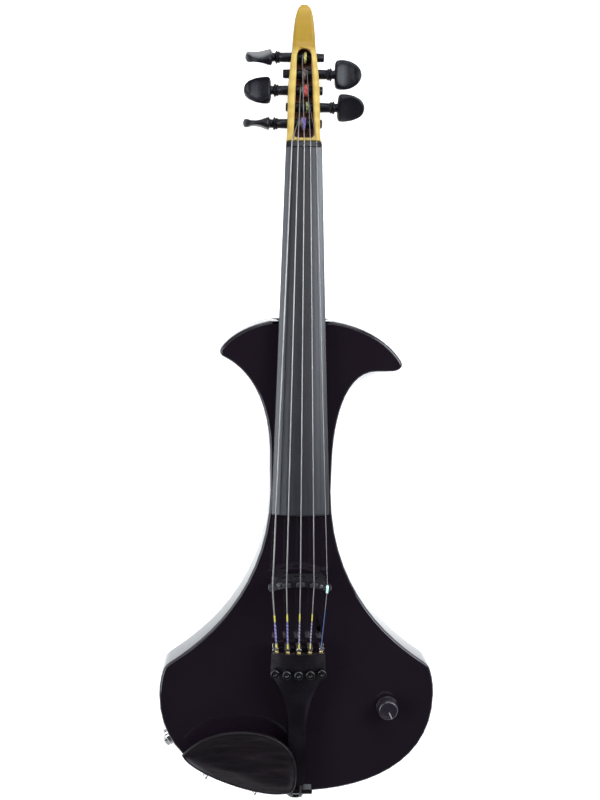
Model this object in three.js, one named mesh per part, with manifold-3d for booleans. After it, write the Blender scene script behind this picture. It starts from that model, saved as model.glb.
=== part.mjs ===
// Five-string solid-body electric violin, lying on its back.
// Units are millimetres. +Z leaves the playing face, +Y runs along the neck to the head, and +X is the
// treble side. The origin is on the flat back, on the centre line, straight below the bridge.
import * as THREE from 'three';
import Module from 'manifold-3d';

const wasm = await Module();
wasm.setup();

const group = new THREE.Group();
group.name = 'electric_violin';

// ---------------------------------------------------------------------------------------------
// Driving dimensions
// ---------------------------------------------------------------------------------------------

const GAP = 0.2;               // air or glue left between pieces that touch
const RUN = 0.06;              // radial clearance of anything that turns in a hole

const BODY_TOP = 38;
const TAIL_Y = -171.5;

const NUT_Y = 328;             // end of the vibrating string at the head
const NUT_LENGTH = 3.4;
const BOARD_END_Y = 53;
const BOARD_HALF_AT_NUT = 13.6;
const BOARD_HALF_AT_END = 21.8;
const BOARD_CROWN_AT_NUT = 40.2;
const BOARD_CROWN_AT_END = 61.3;
const BOARD_UNDER_AT_NUT = 32.9;
const BOARD_UNDER_AT_END = 50.2;
const BOARD_RADIUS = 42;

const TENON_START_Y = 138;     // the neck's tenon runs from here to the edge of the body
const TENON_HALF = 16.5;
const TENON_FLOOR = 12;

const HEAD_START_Y = 332;
const HEAD_TIP_Y = 433.8;
const HEAD_TOP_AT_START = 36;
const HEAD_SLOPE = Math.tan(THREE.MathUtils.degToRad(10));
const SLOT_START_Y = 334.5;
const SLOT_END_Y = 400.8;

const FIRST_PEG_Y = 345;
const PEG_SPACING = 12.4;
const PEG_DROP = 8.5;          // the pegs' axes lie this far below the head's top
const PEG_RADIUS_AT_TIP = 3.3;
const PEG_RADIUS_AT_WALL = 3.65;
const PEG_TIP = 13.9;          // measured from the centre line, away from the thumb piece
const PEG_WALL = 12.6;
const PEG_COLLAR = 19.8;
const PEG_THUMB = 25;
const PEG_LENGTH = 45.4;

const BRIDGE_RADIUS = 42;      // of the arch that the strings lie on
const BRIDGE_STRING_TOP = 71;
const BRIDGE_BOW_RADIUS = 53;  // the bridge is bowed towards the head, seen from above
const BRIDGE_BOW_TOP_Y = 3;
const BRIDGE_THICKNESS = 5;
const SLEEVE_RADIUS = 0.95;    // of the soft tube round the thinnest string at the bridge

const TAILPIECE_FRONT_Y = -55;
const TAILPIECE_BACK_Y = -163.5;
const TAILPIECE_TOP_AT_FRONT = 58.5;
const TAILPIECE_TOP_AT_BACK = 46;
const TAILPIECE_THICKNESS = 4.2;
const TUNER_Y = -70;
const TUNER_SPACING = 9;
const TUNER_ROD_Y = -60;
const TUNER_ROD_Z = 46.5;
const BALL_Y = -52.6;

const BUTTON_Z = 26;

const KNOB_X = 70.2;
const KNOB_Y = -101.7;
const CAVITY = { x: [20, 86], y: [-131, -83], ceiling: 31, corner: 8 };
const COVER_MARGIN = 5;
const COVER_BOTTOM = 0.3;
const COVER_THICKNESS = 2.2;

const JACK_X = -96.8;
const JACK_Y = -129.8;
const JACK_Z = 19;
const JACK_TURN = 211;         // direction in which the plug leaves, in degrees from +X
const SOCKET_RADIUS = 3.25;

const CLAMP_POSTS = [[-70.6, -158.2], [-32.5, -171.4]];
const CLAMP_LEDGE = 9.5;       // height of the rebate's ceiling in the back, above the resting plane
const REST_FOOT = BODY_TOP + 5;   // underside of the chin rest's pedestal, on its cork
const REST_UNDERSIDE = 51;

// One row per string, lowest first. peg counts the peg holes from the nut, side is the thumb piece's
// side, turn is the thumb piece's angle in degrees, seat is how much further out than usual the peg
// sits, and wrap is where on the peg the winding starts.
const STRINGS = [
  { name: 'c', radius: 0.55, peg: 0, side: -1, turn: 90, seat: 0, wrap: -4, turns: 4.6 },
  { name: 'g', radius: 0.48, peg: 2, side: -1, turn: 30, seat: -0.4, wrap: -2.6, turns: 5.2 },
  { name: 'd', radius: 0.42, peg: 4, side: -1, turn: 68, seat: -1.4, wrap: -1.4, turns: 3.2 },
  { name: 'a', radius: 0.36, peg: 3, side: 1, turn: -6, seat: -1.8, wrap: 2.4, turns: 3.6 },
  { name: 'e', radius: 0.22, peg: 1, side: 1, turn: 34, seat: 0.4, wrap: 4.2, turns: 4.4 },
];
STRINGS.forEach((string, i) => {
  string.nutX = (i - 2) * 4.6;
  string.bridgeX = (i - 2) * 10.3;
  string.tailX = (i - 2) * 8.45;
  string.tunerX = (i - 2) * TUNER_SPACING;
});

// Cubic curves, each as start, two handles and end. Half of the lower bout runs from the tail to the
// waist. Its bottom's fullness and the waist's half width differ a little between the two sides, and
// the two horns differ too.
const TREBLE_SIDE = { fullness: 55, waist: 24.6 };
const BASS_SIDE = { fullness: 52, waist: 22.8 };
const WAIST_Y = 85;
const lowerBout = ({ fullness, waist }) => [
  [[0, TAIL_Y], [fullness, TAIL_Y], [107, -150], [107, -93]],
  [[107, -93], [107, -85], [105.8, -79.5], [104.2, -74]],
  [[104.2, -74], [103.2, -70.5], [101.5, -69], [98.5, -66.8]],
  [[98.5, -66.8], [64, -44], [waist - 5.8, 0], [waist, WAIST_Y]],
];
const TREBLE_HORN = [
  [[TREBLE_SIDE.waist, WAIST_Y], [TREBLE_SIDE.waist, 120], [33, 159.8], [57.5, 160]],
  [[57.5, 160], [62, 160], [66, 160], [70, 160.2]],
  [[70, 160.2], [75.2, 160.5], [79.2, 164], [75.8, 168.8]],
  [[75.8, 168.8], [69, 178.9], [54, 193.2], [24, 198]],
];
const BASS_HORN = [
  [[-24, 198], [-42, 194.2], [-54.8, 186.3], [-60.8, 177.3]],
  [[-60.8, 177.3], [-62.4, 174], [-61.2, 171.3], [-57.6, 170]],
  [[-57.6, 170], [-45, 163.5], [-21, 145], [-BASS_SIDE.waist, WAIST_Y]],
];
const CHIN_REST = [
  [[-88.5, -133.8], [-77, -120.5], [-61, -115], [-43.5, -115]],
  [[-43.5, -115], [-22, -115], [-1.5, -124], [-0.6, -146]],
  [[-0.6, -146], [-0.4, -153], [-0.8, -157], [-1.8, -160.5]],
  [[-1.8, -160.5], [-3.5, -165], [-9, -165.4], [-16, -165.4]],
  [[-16, -165.4], [-42, -164.5], [-84, -146], [-88.5, -133.8]],
];

// ---------------------------------------------------------------------------------------------
// Shape tools
// ---------------------------------------------------------------------------------------------

function signedVolume(points, triangles) {
  let sum = 0;
  for (const [a, b, c] of triangles) {
    sum += points[a].dot(points[b].clone().cross(points[c]));
  }
  return sum / 6;
}

// A closed solid from shared points and triangles that all face the same way, turned to face outwards.
function closedSolid(points, triangles) {
  const flip = signedVolume(points, triangles) < 0;
  const ordered = triangles.map(([a, b, c]) => (flip ? [a, c, b] : [a, b, c]));
  return new wasm.Manifold(new wasm.Mesh({
    numProp: 3,
    vertProperties: new Float32Array(points.flatMap((p) => [p.x, p.y, p.z])),
    triVerts: new Uint32Array(ordered.flat()),
  }));
}

// Triangles that join each ring of `count` points to the next one.
function wallTriangles(rings, count) {
  const triangles = [];
  for (let k = 0; k < rings - 1; k++) {
    for (let i = 0; i < count; i++) {
      const j = (i + 1) % count;
      const [a, b] = [k * count + i, k * count + j];
      triangles.push([a, b, b + count], [a, b + count, a + count]);
    }
  }
  return triangles;
}

// A solid through rings of equally many points. Each end closes on the middle of its ring.
function loft(rings) {
  const count = rings[0].length;
  const points = rings.flat();
  const triangles = wallTriangles(rings.length, count);
  const ends = [rings[0], rings[rings.length - 1]];
  ends.forEach((ring, end) => {
    const middle = ring.reduce((sum, p) => sum.add(p), new THREE.Vector3()).divideScalar(count);
    const centre = points.push(middle) - 1;
    const base = end * (rings.length - 1) * count;
    for (let i = 0; i < count; i++) {
      const [a, b] = [base + i, base + ((i + 1) % count)];
      triangles.push(end ? [centre, a, b] : [centre, b, a]);
    }
  });
  return closedSolid(points, triangles);
}

// The outline moved inwards by a distance, point by point along the bisectors.
function insetOutline(outline, distance) {
  const n = outline.length;
  return outline.map((p, i) => {
    const before = p.clone().sub(outline[(i + n - 1) % n]).normalize();
    const after = outline[(i + 1) % n].clone().sub(p).normalize();
    const inward = new THREE.Vector2(-before.y - after.y, before.x + after.x);
    return p.clone().addScaledVector(inward, distance / (1 + before.dot(after)));
  });
}

// An upright slab over an outline. Each level is [height, inset of the outline there].
function slab(outline, levels) {
  const ring = THREE.ShapeUtils.isClockWise(outline) ? [...outline].reverse() : outline;
  const points = levels.flatMap(([z, inset]) => (
    insetOutline(ring, inset).map((p) => new THREE.Vector3(p.x, p.y, z))
  ));
  const triangles = wallTriangles(levels.length, ring.length);
  const top = (levels.length - 1) * ring.length;
  for (const [a, b, c] of THREE.ShapeUtils.triangulateShape(ring, [])) {
    const up = ring[b].clone().sub(ring[a]).cross(ring[c].clone().sub(ring[a])) > 0;
    const [p, q, r] = up ? [a, b, c] : [a, c, b];
    triangles.push([r, q, p], [top + p, top + q, top + r]);
  }
  return closedSolid(points, triangles);
}

function block([x0, x1], [y0, y1], [z0, z1]) {
  const corners = [[x0, y0], [x1, y0], [x1, y1], [x0, y1]];
  return slab(corners.map(([x, y]) => new THREE.Vector2(x, y)), [[z0, 0], [z1, 0]]);
}

// A solid turned about +Z from [radius, height] pairs, lowest first.
function turned(profile, sides) {
  const rings = profile.map(([radius, height]) => (
    Array.from({ length: sides }, (_, i) => {
      const angle = (2 * Math.PI * i) / sides;
      return new THREE.Vector3(radius * Math.cos(angle), radius * Math.sin(angle), height);
    })
  ));
  return loft(rings);
}

function rod(radius, from, to, sides = 24) {
  return turned([[radius, from], [radius, to]], sides);
}

// A round bar along a path of points.
function bar(path, radius, sides) {
  const normal = new THREE.Vector3(1, 0, 0);
  const rings = path.map((p, i) => {
    const ahead = path[Math.min(i + 1, path.length - 1)];
    const behind = path[Math.max(i - 1, 0)];
    const along = ahead.clone().sub(behind).normalize();
    normal.addScaledVector(along, -normal.dot(along)).normalize();
    const across = along.clone().cross(normal);
    return Array.from({ length: sides }, (_, s) => {
      const angle = (2 * Math.PI * s) / sides;
      return p.clone()
        .addScaledVector(normal, radius * Math.cos(angle))
        .addScaledVector(across, radius * Math.sin(angle));
    });
  });
  return loft(rings);
}

function union(first, ...others) {
  return others.reduce((whole, piece) => whole.add(piece), first);
}

function without(first, ...cutters) {
  return cutters.reduce((whole, cutter) => whole.subtract(cutter), first);
}

// Points along cubic curves that follow each other. steps is the number of spans per curve.
function pointsAlong(curves, steps) {
  return curves.flatMap((handles, k) => {
    const curve = new THREE.CubicBezierCurve(...handles.map(([x, y]) => new THREE.Vector2(x, y)));
    return curve.getPoints(steps[k]).slice(0, -1);
  });
}

function mirrored(curves) {
  return [...curves].reverse().map((handles) => [...handles].reverse().map(([x, y]) => [-x, y]));
}

function ellipseOutline(x, y, alongX, alongY, count) {
  return new THREE.EllipseCurve(x, y, alongX, alongY).getPoints(count).slice(0, -1);
}

function roundedRectangle([x0, x1], [y0, y1], radius, steps = 4) {
  const corners = [[x1, y1, 0], [x0, y1, 1], [x0, y0, 2], [x1, y0, 3]];
  return corners.flatMap(([x, y, quarter]) => {
    const cx = x === x1 ? x1 - radius : x0 + radius;
    const cy = y === y1 ? y1 - radius : y0 + radius;
    return Array.from({ length: steps + 1 }, (_, i) => {
      const angle = (quarter + i / steps) * (Math.PI / 2);
      return new THREE.Vector2(cx + radius * Math.cos(angle), cy + radius * Math.sin(angle));
    });
  });
}

// A smooth function through [position, value] pairs that never overshoots them.
function smoothThrough(pairs) {
  const slopes = pairs.slice(1).map(([x, v], i) => (v - pairs[i][1]) / (x - pairs[i][0]));
  const tangents = pairs.map((_, i) => {
    const [a, b] = [slopes[i - 1] ?? 0, slopes[i] ?? 0];
    return a * b > 0 ? (2 * a * b) / (a + b) : 0;
  });
  return (x) => {
    const i = Math.max(0, pairs.findLastIndex(([at]) => at <= x));
    if (i >= pairs.length - 1) {
      return pairs[pairs.length - 1][1];
    }
    const span = pairs[i + 1][0] - pairs[i][0];
    const t = THREE.MathUtils.clamp((x - pairs[i][0]) / span, 0, 1);
    const [t2, t3] = [t * t, t * t * t];
    return (2 * t3 - 3 * t2 + 1) * pairs[i][1] + (t3 - 2 * t2 + t) * span * tangents[i]
      + (3 * t2 - 2 * t3) * pairs[i + 1][1] + (t3 - t2) * span * tangents[i + 1];
  };
}

function straight(y, [y0, v0], [y1, v1]) {
  return v0 + ((v1 - v0) * (y - y0)) / (y1 - y0);
}

// How far an arc of a radius has dropped at a distance from its top.
function drop(radius, x) {
  return radius - Math.sqrt(radius * radius - x * x);
}

function addPiece(name, solid, colour) {
  const mesh = solid.getMesh();
  const geometry = new THREE.BufferGeometry();
  geometry.setAttribute('position', new THREE.BufferAttribute(new Float32Array(mesh.vertProperties), 3));
  geometry.setIndex(new THREE.BufferAttribute(new Uint32Array(mesh.triVerts), 1));
  geometry.computeVertexNormals();
  const piece = new THREE.Mesh(geometry, new THREE.MeshStandardMaterial({ color: colour }));
  piece.name = name;
  group.add(piece);
}

const BLACK = 0x1c181f;
const SATIN = 0x2a262a;
const MAPLE = 0xd3a84e;
const STEEL = 0xc4c6ca;
const BRASS = 0xc9a24a;

// ---------------------------------------------------------------------------------------------
// Lines that several pieces share
// ---------------------------------------------------------------------------------------------

const boardHalf = (y) => straight(y, [NUT_Y, BOARD_HALF_AT_NUT], [BOARD_END_Y, BOARD_HALF_AT_END]);
const boardCrown = (y) => straight(y, [NUT_Y, BOARD_CROWN_AT_NUT], [BOARD_END_Y, BOARD_CROWN_AT_END]);
const boardUnder = (y) => straight(y, [NUT_Y, BOARD_UNDER_AT_NUT], [BOARD_END_Y, BOARD_UNDER_AT_END]);
const headTop = (y) => HEAD_TOP_AT_START - (y - HEAD_START_Y) * HEAD_SLOPE;
const pegY = (string) => FIRST_PEG_Y + PEG_SPACING * string.peg;
const pegZ = (string) => headTop(pegY(string)) - PEG_DROP;
const pegRadius = (h) => straight(h, [-PEG_TIP, PEG_RADIUS_AT_TIP], [PEG_WALL, PEG_RADIUS_AT_WALL]);
const bridgeY = (x) => BRIDGE_BOW_TOP_Y - drop(BRIDGE_BOW_RADIUS, x);
const bridgeStringZ = (x) => BRIDGE_STRING_TOP - drop(BRIDGE_RADIUS, x);
const nutStringZ = (string) => BOARD_CROWN_AT_NUT + 0.9 + string.radius - drop(BOARD_RADIUS, string.nutX);
const tailStringZ = (x) => 60.6 - drop(45, x);
const tailpieceTop = (y) => straight(
  y,
  [TAILPIECE_FRONT_Y, TAILPIECE_TOP_AT_FRONT],
  [TAILPIECE_BACK_Y, TAILPIECE_TOP_AT_BACK],
);

// ---------------------------------------------------------------------------------------------
// Body, neck, fingerboard and nut
// ---------------------------------------------------------------------------------------------

function bodyOutline() {
  const bout = [14, 3, 3, 14];
  return [
    ...pointsAlong(lowerBout(TREBLE_SIDE), bout),
    ...pointsAlong(TREBLE_HORN, [14, 2, 5, 10]),
    new THREE.Vector2(24, 198),
    ...pointsAlong(BASS_HORN, [9, 4, 12]),
    ...pointsAlong(mirrored(lowerBout(BASS_SIDE)), [...bout].reverse()),
  ];
}

// A tongue that reaches in over or under the lower edge from the line between the clamp's two posts.
function clampTongue(start, end, margin, levels) {
  const [from, to] = CLAMP_POSTS.map(([x, y]) => new THREE.Vector2(x, y));
  const along = to.clone().sub(from).normalize();
  const inward = new THREE.Vector2(-along.y, along.x);
  const corner = (post, side, depth) => (
    post.clone().addScaledVector(along, side * (1.5 + margin)).addScaledVector(inward, depth)
  );
  const nearer = [corner(from, -1, start), corner(to, 1, start)];
  const further = [corner(to, 1, end), corner(from, -1, end)];
  return slab([...nearer, ...further], levels);
}

function atPosts(solid) {
  return CLAMP_POSTS.map(([x, y]) => solid.translate([x, y, 0]));
}

function jackPlaced(solid) {
  return solid.rotate([0, 90, JACK_TURN]).translate([JACK_X, JACK_Y, JACK_Z]);
}

function leadChannels() {
  const jackEnd = new THREE.Vector3(-66, -112.5, JACK_Z);
  const toJack = bar([jackEnd, new THREE.Vector3(CAVITY.x[0] + 4, -107, JACK_Z)], 3, 12);
  const fromBridge = bar([new THREE.Vector3(9, -9, BODY_TOP + 6), new THREE.Vector3(27, -88, 24)], 2.4, 12);
  return [toJack, fromBridge];
}

function makeBody() {
  const rounding = [[BODY_TOP - 2.4, 0], [BODY_TOP - 1, 0.4], [BODY_TOP - 0.25, 1.3], [BODY_TOP, 2.6]];
  const shell = slab(bodyOutline(), [[0, 3.6], [1.4, 1.4], [5, 0], ...rounding]);
  const mortise = block([-TENON_HALF, TENON_HALF], [TENON_START_Y, 230], [TENON_FLOOR, 60]);
  const cavity = slab(
    roundedRectangle(CAVITY.x, CAVITY.y, CAVITY.corner),
    [[-1, 0], [CAVITY.ceiling, 0]],
  );
  const rebate = slab(coverOutline(0.3), [[-1, 0], [COVER_BOTTOM + COVER_THICKNESS + GAP, 0]]);
  const clampRebate = union(
    clampTongue(-4, 20.5, 1.5, [[-1, 0], [CLAMP_LEDGE, 0]]),
    ...atPosts(rod(5, -1, CLAMP_LEDGE)),
  );
  const knobHole = rod(3.7, 20, 60).translate([KNOB_X, KNOB_Y, 0]);
  const jackBore = jackPlaced(union(rod(6.6, -36, 8), rod(9.3, -1.4, 8)));
  const buttonBore = rod(4.2, -6, 24).rotate([-90, 0, 0]).translate([0, TAIL_Y, BUTTON_Z]);
  const saddleSeat = block([-13, 13], [TAIL_Y - 4, TAIL_Y + 6.5], [BODY_TOP - 3.5, 60]);
  const screwHoles = coverScrewPlaces().map(([x, y]) => rod(1.3, -1, 13, 10).translate([x, y, 0]));
  return without(
    shell, mortise, cavity, rebate, clampRebate, knobHole, jackBore, buttonBore, saddleSeat,
    ...leadChannels(), ...screwHoles,
  );
}

// A closed section across the neck or head: flatter above than below, by two powers.
function neckSection(y, half, top, bottom, middle, upperPower, lowerPower) {
  const count = 20;
  return Array.from({ length: count }, (_, i) => {
    const angle = (2 * Math.PI * (i + 0.5)) / count;
    const [c, s] = [Math.cos(angle), Math.sin(angle)];
    const power = 2 / (s > 0 ? upperPower : lowerPower);
    const x = half * Math.sign(c) * Math.abs(c) ** power;
    const rise = Math.abs(s) ** power;
    const z = s > 0 ? middle + (top - middle) * rise : middle - (middle - bottom) * rise;
    return new THREE.Vector3(x, y, z);
  });
}

const neckBack = smoothThrough([
  [196, 12.3], [201, 13.2], [211, 23], [228, 28], [250, 27.9], [322, 22.3], [331, 18.8], [344, 13.4],
  [372, 9], [402, 5.6], [420, 6], [430, 8], [HEAD_TIP_Y, 12],
]);
const headHalf = smoothThrough([
  [331, 13.1], [336, 12.5], [370, 11.9], [383, 11], [400, 9], [417, 7.8], [427, 6.2], [431.5, 4.5],
  [HEAD_TIP_Y, 2.2],
]);
const finialTop = smoothThrough([
  [400, headTop(400)], [403, headTop(403) - 0.4], [408, 20.6], [416, 20.4], [426, 20], [431, 18.6],
  [HEAD_TIP_Y, 15.6],
]);

function makeNeck() {
  const shaftStations = [199, 202, 205, 208, 211, 216, 224, 250, 300, 322, 329];
  const headStations = [
    333, 338, 344, 356, 372, 390, 400, 402.5, 405, 408, 412, 417, 422, 426, 429, 431.4, 433, HEAD_TIP_Y,
  ];
  const shaft = shaftStations.map((y) => {
    const top = boardUnder(y) + 2;
    return neckSection(y, boardHalf(y) - 0.3, top, neckBack(y), top - 4.5, 12, 2.3);
  });
  const head = headStations.map((y) => {
    const top = y < 400 ? headTop(y) : finialTop(y);
    return neckSection(y, headHalf(y), top, neckBack(y), (top + neckBack(y)) / 2, 6, 3.4);
  });
  const tenonEnd = 199.5;
  const [halfX, low] = [TENON_HALF - GAP, TENON_FLOOR + GAP];
  const tenon = block([-halfX, halfX], [TENON_START_Y + GAP, tenonEnd], [low, 60]);
  const boardSeat = slab(
    [[100, boardUnder(100)], [HEAD_START_Y, boardUnder(HEAD_START_Y)], [HEAD_START_Y, 80], [100, 80]]
      .map(([y, z]) => new THREE.Vector2(y, z - GAP)),
    [[-40, 0], [40, 0]],
  ).rotate([90, 0, 90]);
  return without(union(loft([...shaft, ...head]), tenon), boardSeat, pegSlot(), ...STRINGS.map(pegHole));
}

// The slot in the head: it narrows to a round end, and its floor follows the head's slope.
function pegSlot() {
  const y0 = SLOT_START_Y;
  const start = [[-7.7, y0 + 2], [-6, y0], [6, y0], [7.7, y0 + 2]].map(([x, y]) => new THREE.Vector2(x, y));
  const end = new THREE.EllipseCurve(0, SLOT_END_Y - 5, 5.4, 5, 0, Math.PI).getPoints(10);
  const side = [
    [y0 - 1, 20.4], [y0 + 8, 16.6], [SLOT_END_Y + 1, 8.7], [SLOT_END_Y + 1, 60], [y0 - 1, 60],
  ].map(([y, z]) => new THREE.Vector2(y, z));
  const aboveFloor = slab(side, [[-20, 0], [20, 0]]).rotate([90, 0, 90]);
  return slab([...start, ...end], [[0, 0], [60, 0]]).intersect(aboveFloor);
}

// A hole or a peg made along +Z with its thumb end up, laid across the head.
function acrossHead(solid, string) {
  const seated = solid.translate([0, 0, string.seat]);
  const laid = string.side > 0 ? seated.rotate([0, 90, 0]) : seated.rotate([0, -90, 0]);
  return laid.translate([0, pegY(string), pegZ(string)]);
}

function pegHole(string) {
  return acrossHead(turned([[pegRadius(-20) + RUN, -20], [pegRadius(20) + RUN, 20]], 20), string);
}

// A section of the fingerboard or nut: flat below, arched above.
function archedSection(y, half, crown, under, count) {
  const arch = Array.from({ length: count }, (_, i) => {
    const x = half - (2 * half * i) / (count - 1);
    return new THREE.Vector3(x, y, crown - drop(BOARD_RADIUS, x));
  });
  return [new THREE.Vector3(-half + 0.5, y, under), new THREE.Vector3(half - 0.5, y, under), ...arch];
}

function makeFingerboard() {
  const stations = [NUT_Y - GAP, BOARD_END_Y + 1, BOARD_END_Y];
  return loft(stations.map((y, i) => {
    const eased = i === 2 ? 0.7 : 0;
    return archedSection(y, boardHalf(y) - eased, boardCrown(y) - eased, boardUnder(y) + eased, 13);
  }));
}

function makeNut() {
  const [front, back] = [NUT_Y, NUT_Y + NUT_LENGTH];
  const crown = BOARD_CROWN_AT_NUT + 1.2;
  const under = boardUnder(back) + GAP;
  const blank = loft([
    archedSection(front, BOARD_HALF_AT_NUT - 0.1, crown, under, 13),
    archedSection(back, BOARD_HALF_AT_NUT - 0.5, crown - 1.4, under, 13),
  ]);
  const notches = STRINGS.map((string) => bar(stringPath(string).slice(1, 6), string.radius + 0.1, 8));
  return without(blank, ...notches);
}

// ---------------------------------------------------------------------------------------------
// Pegs and strings
// ---------------------------------------------------------------------------------------------

// The thumb piece's half width and half thickness along the peg. Its faces are hollowed, so it is
// thinnest halfway.
const thumbHalf = smoothThrough([
  [PEG_THUMB, 7.5], [25.7, 9.6], [27.5, 10.8], [31, 11.2], [35.5, 10.6], [39.5, 8.9], [42.5, 6.6],
  [44.6, 3.6], [PEG_LENGTH, 1.2],
]);
const thumbThick = smoothThrough([
  [PEG_THUMB, 2.6], [26.2, 4.7], [28.5, 4.1], [32.5, 2.7], [36, 2.1], [39.5, 2.3], [42.5, 3.2],
  [44.2, 3], [PEG_LENGTH, 1.1],
]);

function makeThumb() {
  const count = 12;
  const stations = [PEG_THUMB, 25.7, 27, 29, 32, 35.5, 39, 41.5, 43.4, 44.7, PEG_LENGTH];
  return loft(stations.map((z) => Array.from({ length: count }, (_, i) => {
    const angle = (2 * Math.PI * (i + 0.5)) / count;
    const [x, y] = [Math.cos(angle), Math.sin(angle)].map((c) => Math.sign(c) * Math.abs(c) ** 0.6);
    return new THREE.Vector3(x * thumbHalf(z), y * thumbThick(z), z);
  })));
}

function makePeg(string) {
  const stem = turned([
    [2.6, -PEG_TIP], [pegRadius(-PEG_TIP + 0.7), -PEG_TIP + 0.7], [PEG_RADIUS_AT_WALL, PEG_WALL],
    [3.5, PEG_COLLAR - 0.6], [4.4, PEG_COLLAR], [4.4, PEG_COLLAR + 0.8], [3.8, PEG_COLLAR + 1.1],
    [4.9, PEG_COLLAR + 1.6], [4.9, PEG_COLLAR + 2.6], [3.2, PEG_COLLAR + 3.4], [3.6, PEG_THUMB + 0.4],
    [2.4, PEG_THUMB + 3],
  ], 16);
  return acrossHead(union(stem, makeThumb()).rotate([0, 0, 90 + string.turn]), string);
}

// The string's route: tuner hook, bridge, nut, down into the head, then round its peg.
function stringPath(string) {
  const { nutX, bridgeX, tailX, radius, side, wrap, turns } = string;
  const atBridge = new THREE.Vector3(bridgeX, bridgeY(bridgeX), bridgeStringZ(bridgeX));
  const atTail = new THREE.Vector3(tailX, BALL_Y + 2, tailStringZ(tailX));
  const nutZ = nutStringZ(string);
  const overNut = [
    new THREE.Vector3(nutX, NUT_Y + 0.4, nutZ),
    new THREE.Vector3(nutX, NUT_Y + NUT_LENGTH - 0.4, nutZ - 0.9),
  ];
  const windRadius = PEG_RADIUS_AT_WALL + radius + 0.05;
  const centre = { y: pegY(string), z: pegZ(string) };
  const leaving = overNut[1];
  let start = 0;
  for (let i = 0; i < 4; i++) {
    const fall = leaving.z - centre.z - windRadius * Math.cos(start);
    start = Math.atan2(fall, centre.y + windRadius * Math.sin(start) - leaving.y);
  }
  const steps = Math.round(turns * 10);
  const winding = Array.from({ length: steps + 1 }, (_, i) => {
    const angle = start + (2 * Math.PI * turns * i) / steps;
    const along = wrap - (side * turns * (2 * radius + 0.14) * i) / steps;
    return new THREE.Vector3(
      along,
      centre.y + windRadius * Math.sin(angle),
      centre.z + windRadius * Math.cos(angle),
    );
  });
  return [atTail, atBridge, ...overNut, leaving.clone().lerp(winding[0], 0.5), ...winding];
}

function makeString(string) {
  return bar(stringPath(string), string.radius, 6);
}

function makeBallEnd(string) {
  const ball = turned([[1, -1.5], [1.55, -1], [1.7, 0], [1.55, 1], [1, 1.5]], 10).rotate([0, 90, 0]);
  return ball.translate([string.tailX, BALL_Y, tailStringZ(string.tailX)]);
}

// ---------------------------------------------------------------------------------------------
// Bridge
// ---------------------------------------------------------------------------------------------

// A wall that is bowed in plan, as thick as stated, from one height to another.
function bowedWall(halfWidth, thickness, [z0, z1]) {
  const count = 13;
  const edge = (offset) => Array.from({ length: count }, (_, i) => {
    const x = -halfWidth + (2 * halfWidth * i) / (count - 1);
    return new THREE.Vector2(x, bridgeY(x) + offset);
  });
  return slab([...edge(-thickness / 2), ...edge(thickness / 2).reverse()], [[z0, 0], [z1, 0]]);
}

function frontPrism(points) {
  return slab(points.map(([x, z]) => new THREE.Vector2(x, z)), [[-20, 0], [20, 0]]).rotate([90, 0, 0]);
}

function makeBridge() {
  const foot = BODY_TOP + GAP;
  const side = [[21, foot], [20.6, foot + 3], [16.8, 49], [17.6, 53], [22.6, 57.5], [22.8, 61]];
  const crown = Array.from({ length: 15 }, (_, i) => {
    const x = 22.4 - (44.8 * i) / 14;
    return [x, bridgeStringZ(x) - 2.6];
  });
  const outline = [...side, ...crown, ...side.map(([x, z]) => [-x, z]).reverse()];
  const arch = [[-12, foot - 1], [-9, 43.5], [0, 46], [9, 43.5], [12, foot - 1]];
  const blank = bowedWall(24, BRIDGE_THICKNESS, [foot - 2, 75]).intersect(frontPrism(outline));
  const hole = (x, z, wide, tall) => frontPrism(
    ellipseOutline(x, z, wide, tall, 16).map((p) => [p.x, p.y]),
  );
  const saddleSeats = STRINGS.map(({ bridgeX: x }) => (
    block([x - 3.3, x + 3.3], [bridgeY(x) - 1.7, bridgeY(x) + 1.7], [bridgeStringZ(x) - 7.4, 80])
  ));
  const screwHoles = bridgeScrewPlaces().map(([x, y, z]) => rod(0.9, -6, 3, 10).translate([x, y, z]));
  return without(
    blank, frontPrism(arch),
    hole(0, 53.4, 4.6, 3.4), hole(-11.4, 52.6, 2.6, 2.6), hole(11.4, 52.6, 2.6, 2.6),
    ...saddleSeats, ...screwHoles,
  );
}

// A pickup block under one string, with a square notch for it.
function makeSaddle(string) {
  const { bridgeX: x, radius, name } = string;
  const [y, z] = [bridgeY(x), bridgeStringZ(x)];
  const outline = roundedRectangle([x - 3.1, x + 3.1], [y - 1.5, y + 1.5], 0.5, 2);
  const base = slab(outline, [[z - 7.2, 0], [z - 0.1, 0], [z + 0.3, 0.35]]);
  const held = name === 'e' ? SLEEVE_RADIUS : radius;
  const reach = held + 0.25;
  return base.subtract(block([x - reach, x + reach], [y - 3, y + 3], [z - held - 0.3, z + 5]));
}

function makeSleeve(string) {
  const centre = new THREE.Vector3(string.bridgeX, bridgeY(string.bridgeX), bridgeStringZ(string.bridgeX));
  const [tail, , nut] = stringPath(string);
  const ends = [tail, nut].map((far, i) => {
    const towards = far.clone().sub(centre).normalize();
    return centre.clone().addScaledVector(towards, 3.4 - i);
  });
  const tube = bar([ends[0], centre, ends[1]], SLEEVE_RADIUS, 12);
  return tube.subtract(bar([tail, centre, nut], string.radius + 0.08, 8));
}

function bridgeScrewPlaces() {
  return [-15.8, 15.8].map((x) => [x, bridgeY(x), bridgeStringZ(x) - 2.6]);
}

function makeBridgeScrew([x, y, z]) {
  const screw = turned([[0.7, -5], [0.7, 0.4], [1.5, 0.5], [1.5, 1.3], [1, 1.8]], 12);
  return screw.subtract(block([-2, 2], [-0.25, 0.25], [1.2, 3])).translate([x, y, z]);
}

// ---------------------------------------------------------------------------------------------
// Tailpiece, fine tuners, tail cord
// ---------------------------------------------------------------------------------------------

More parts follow.
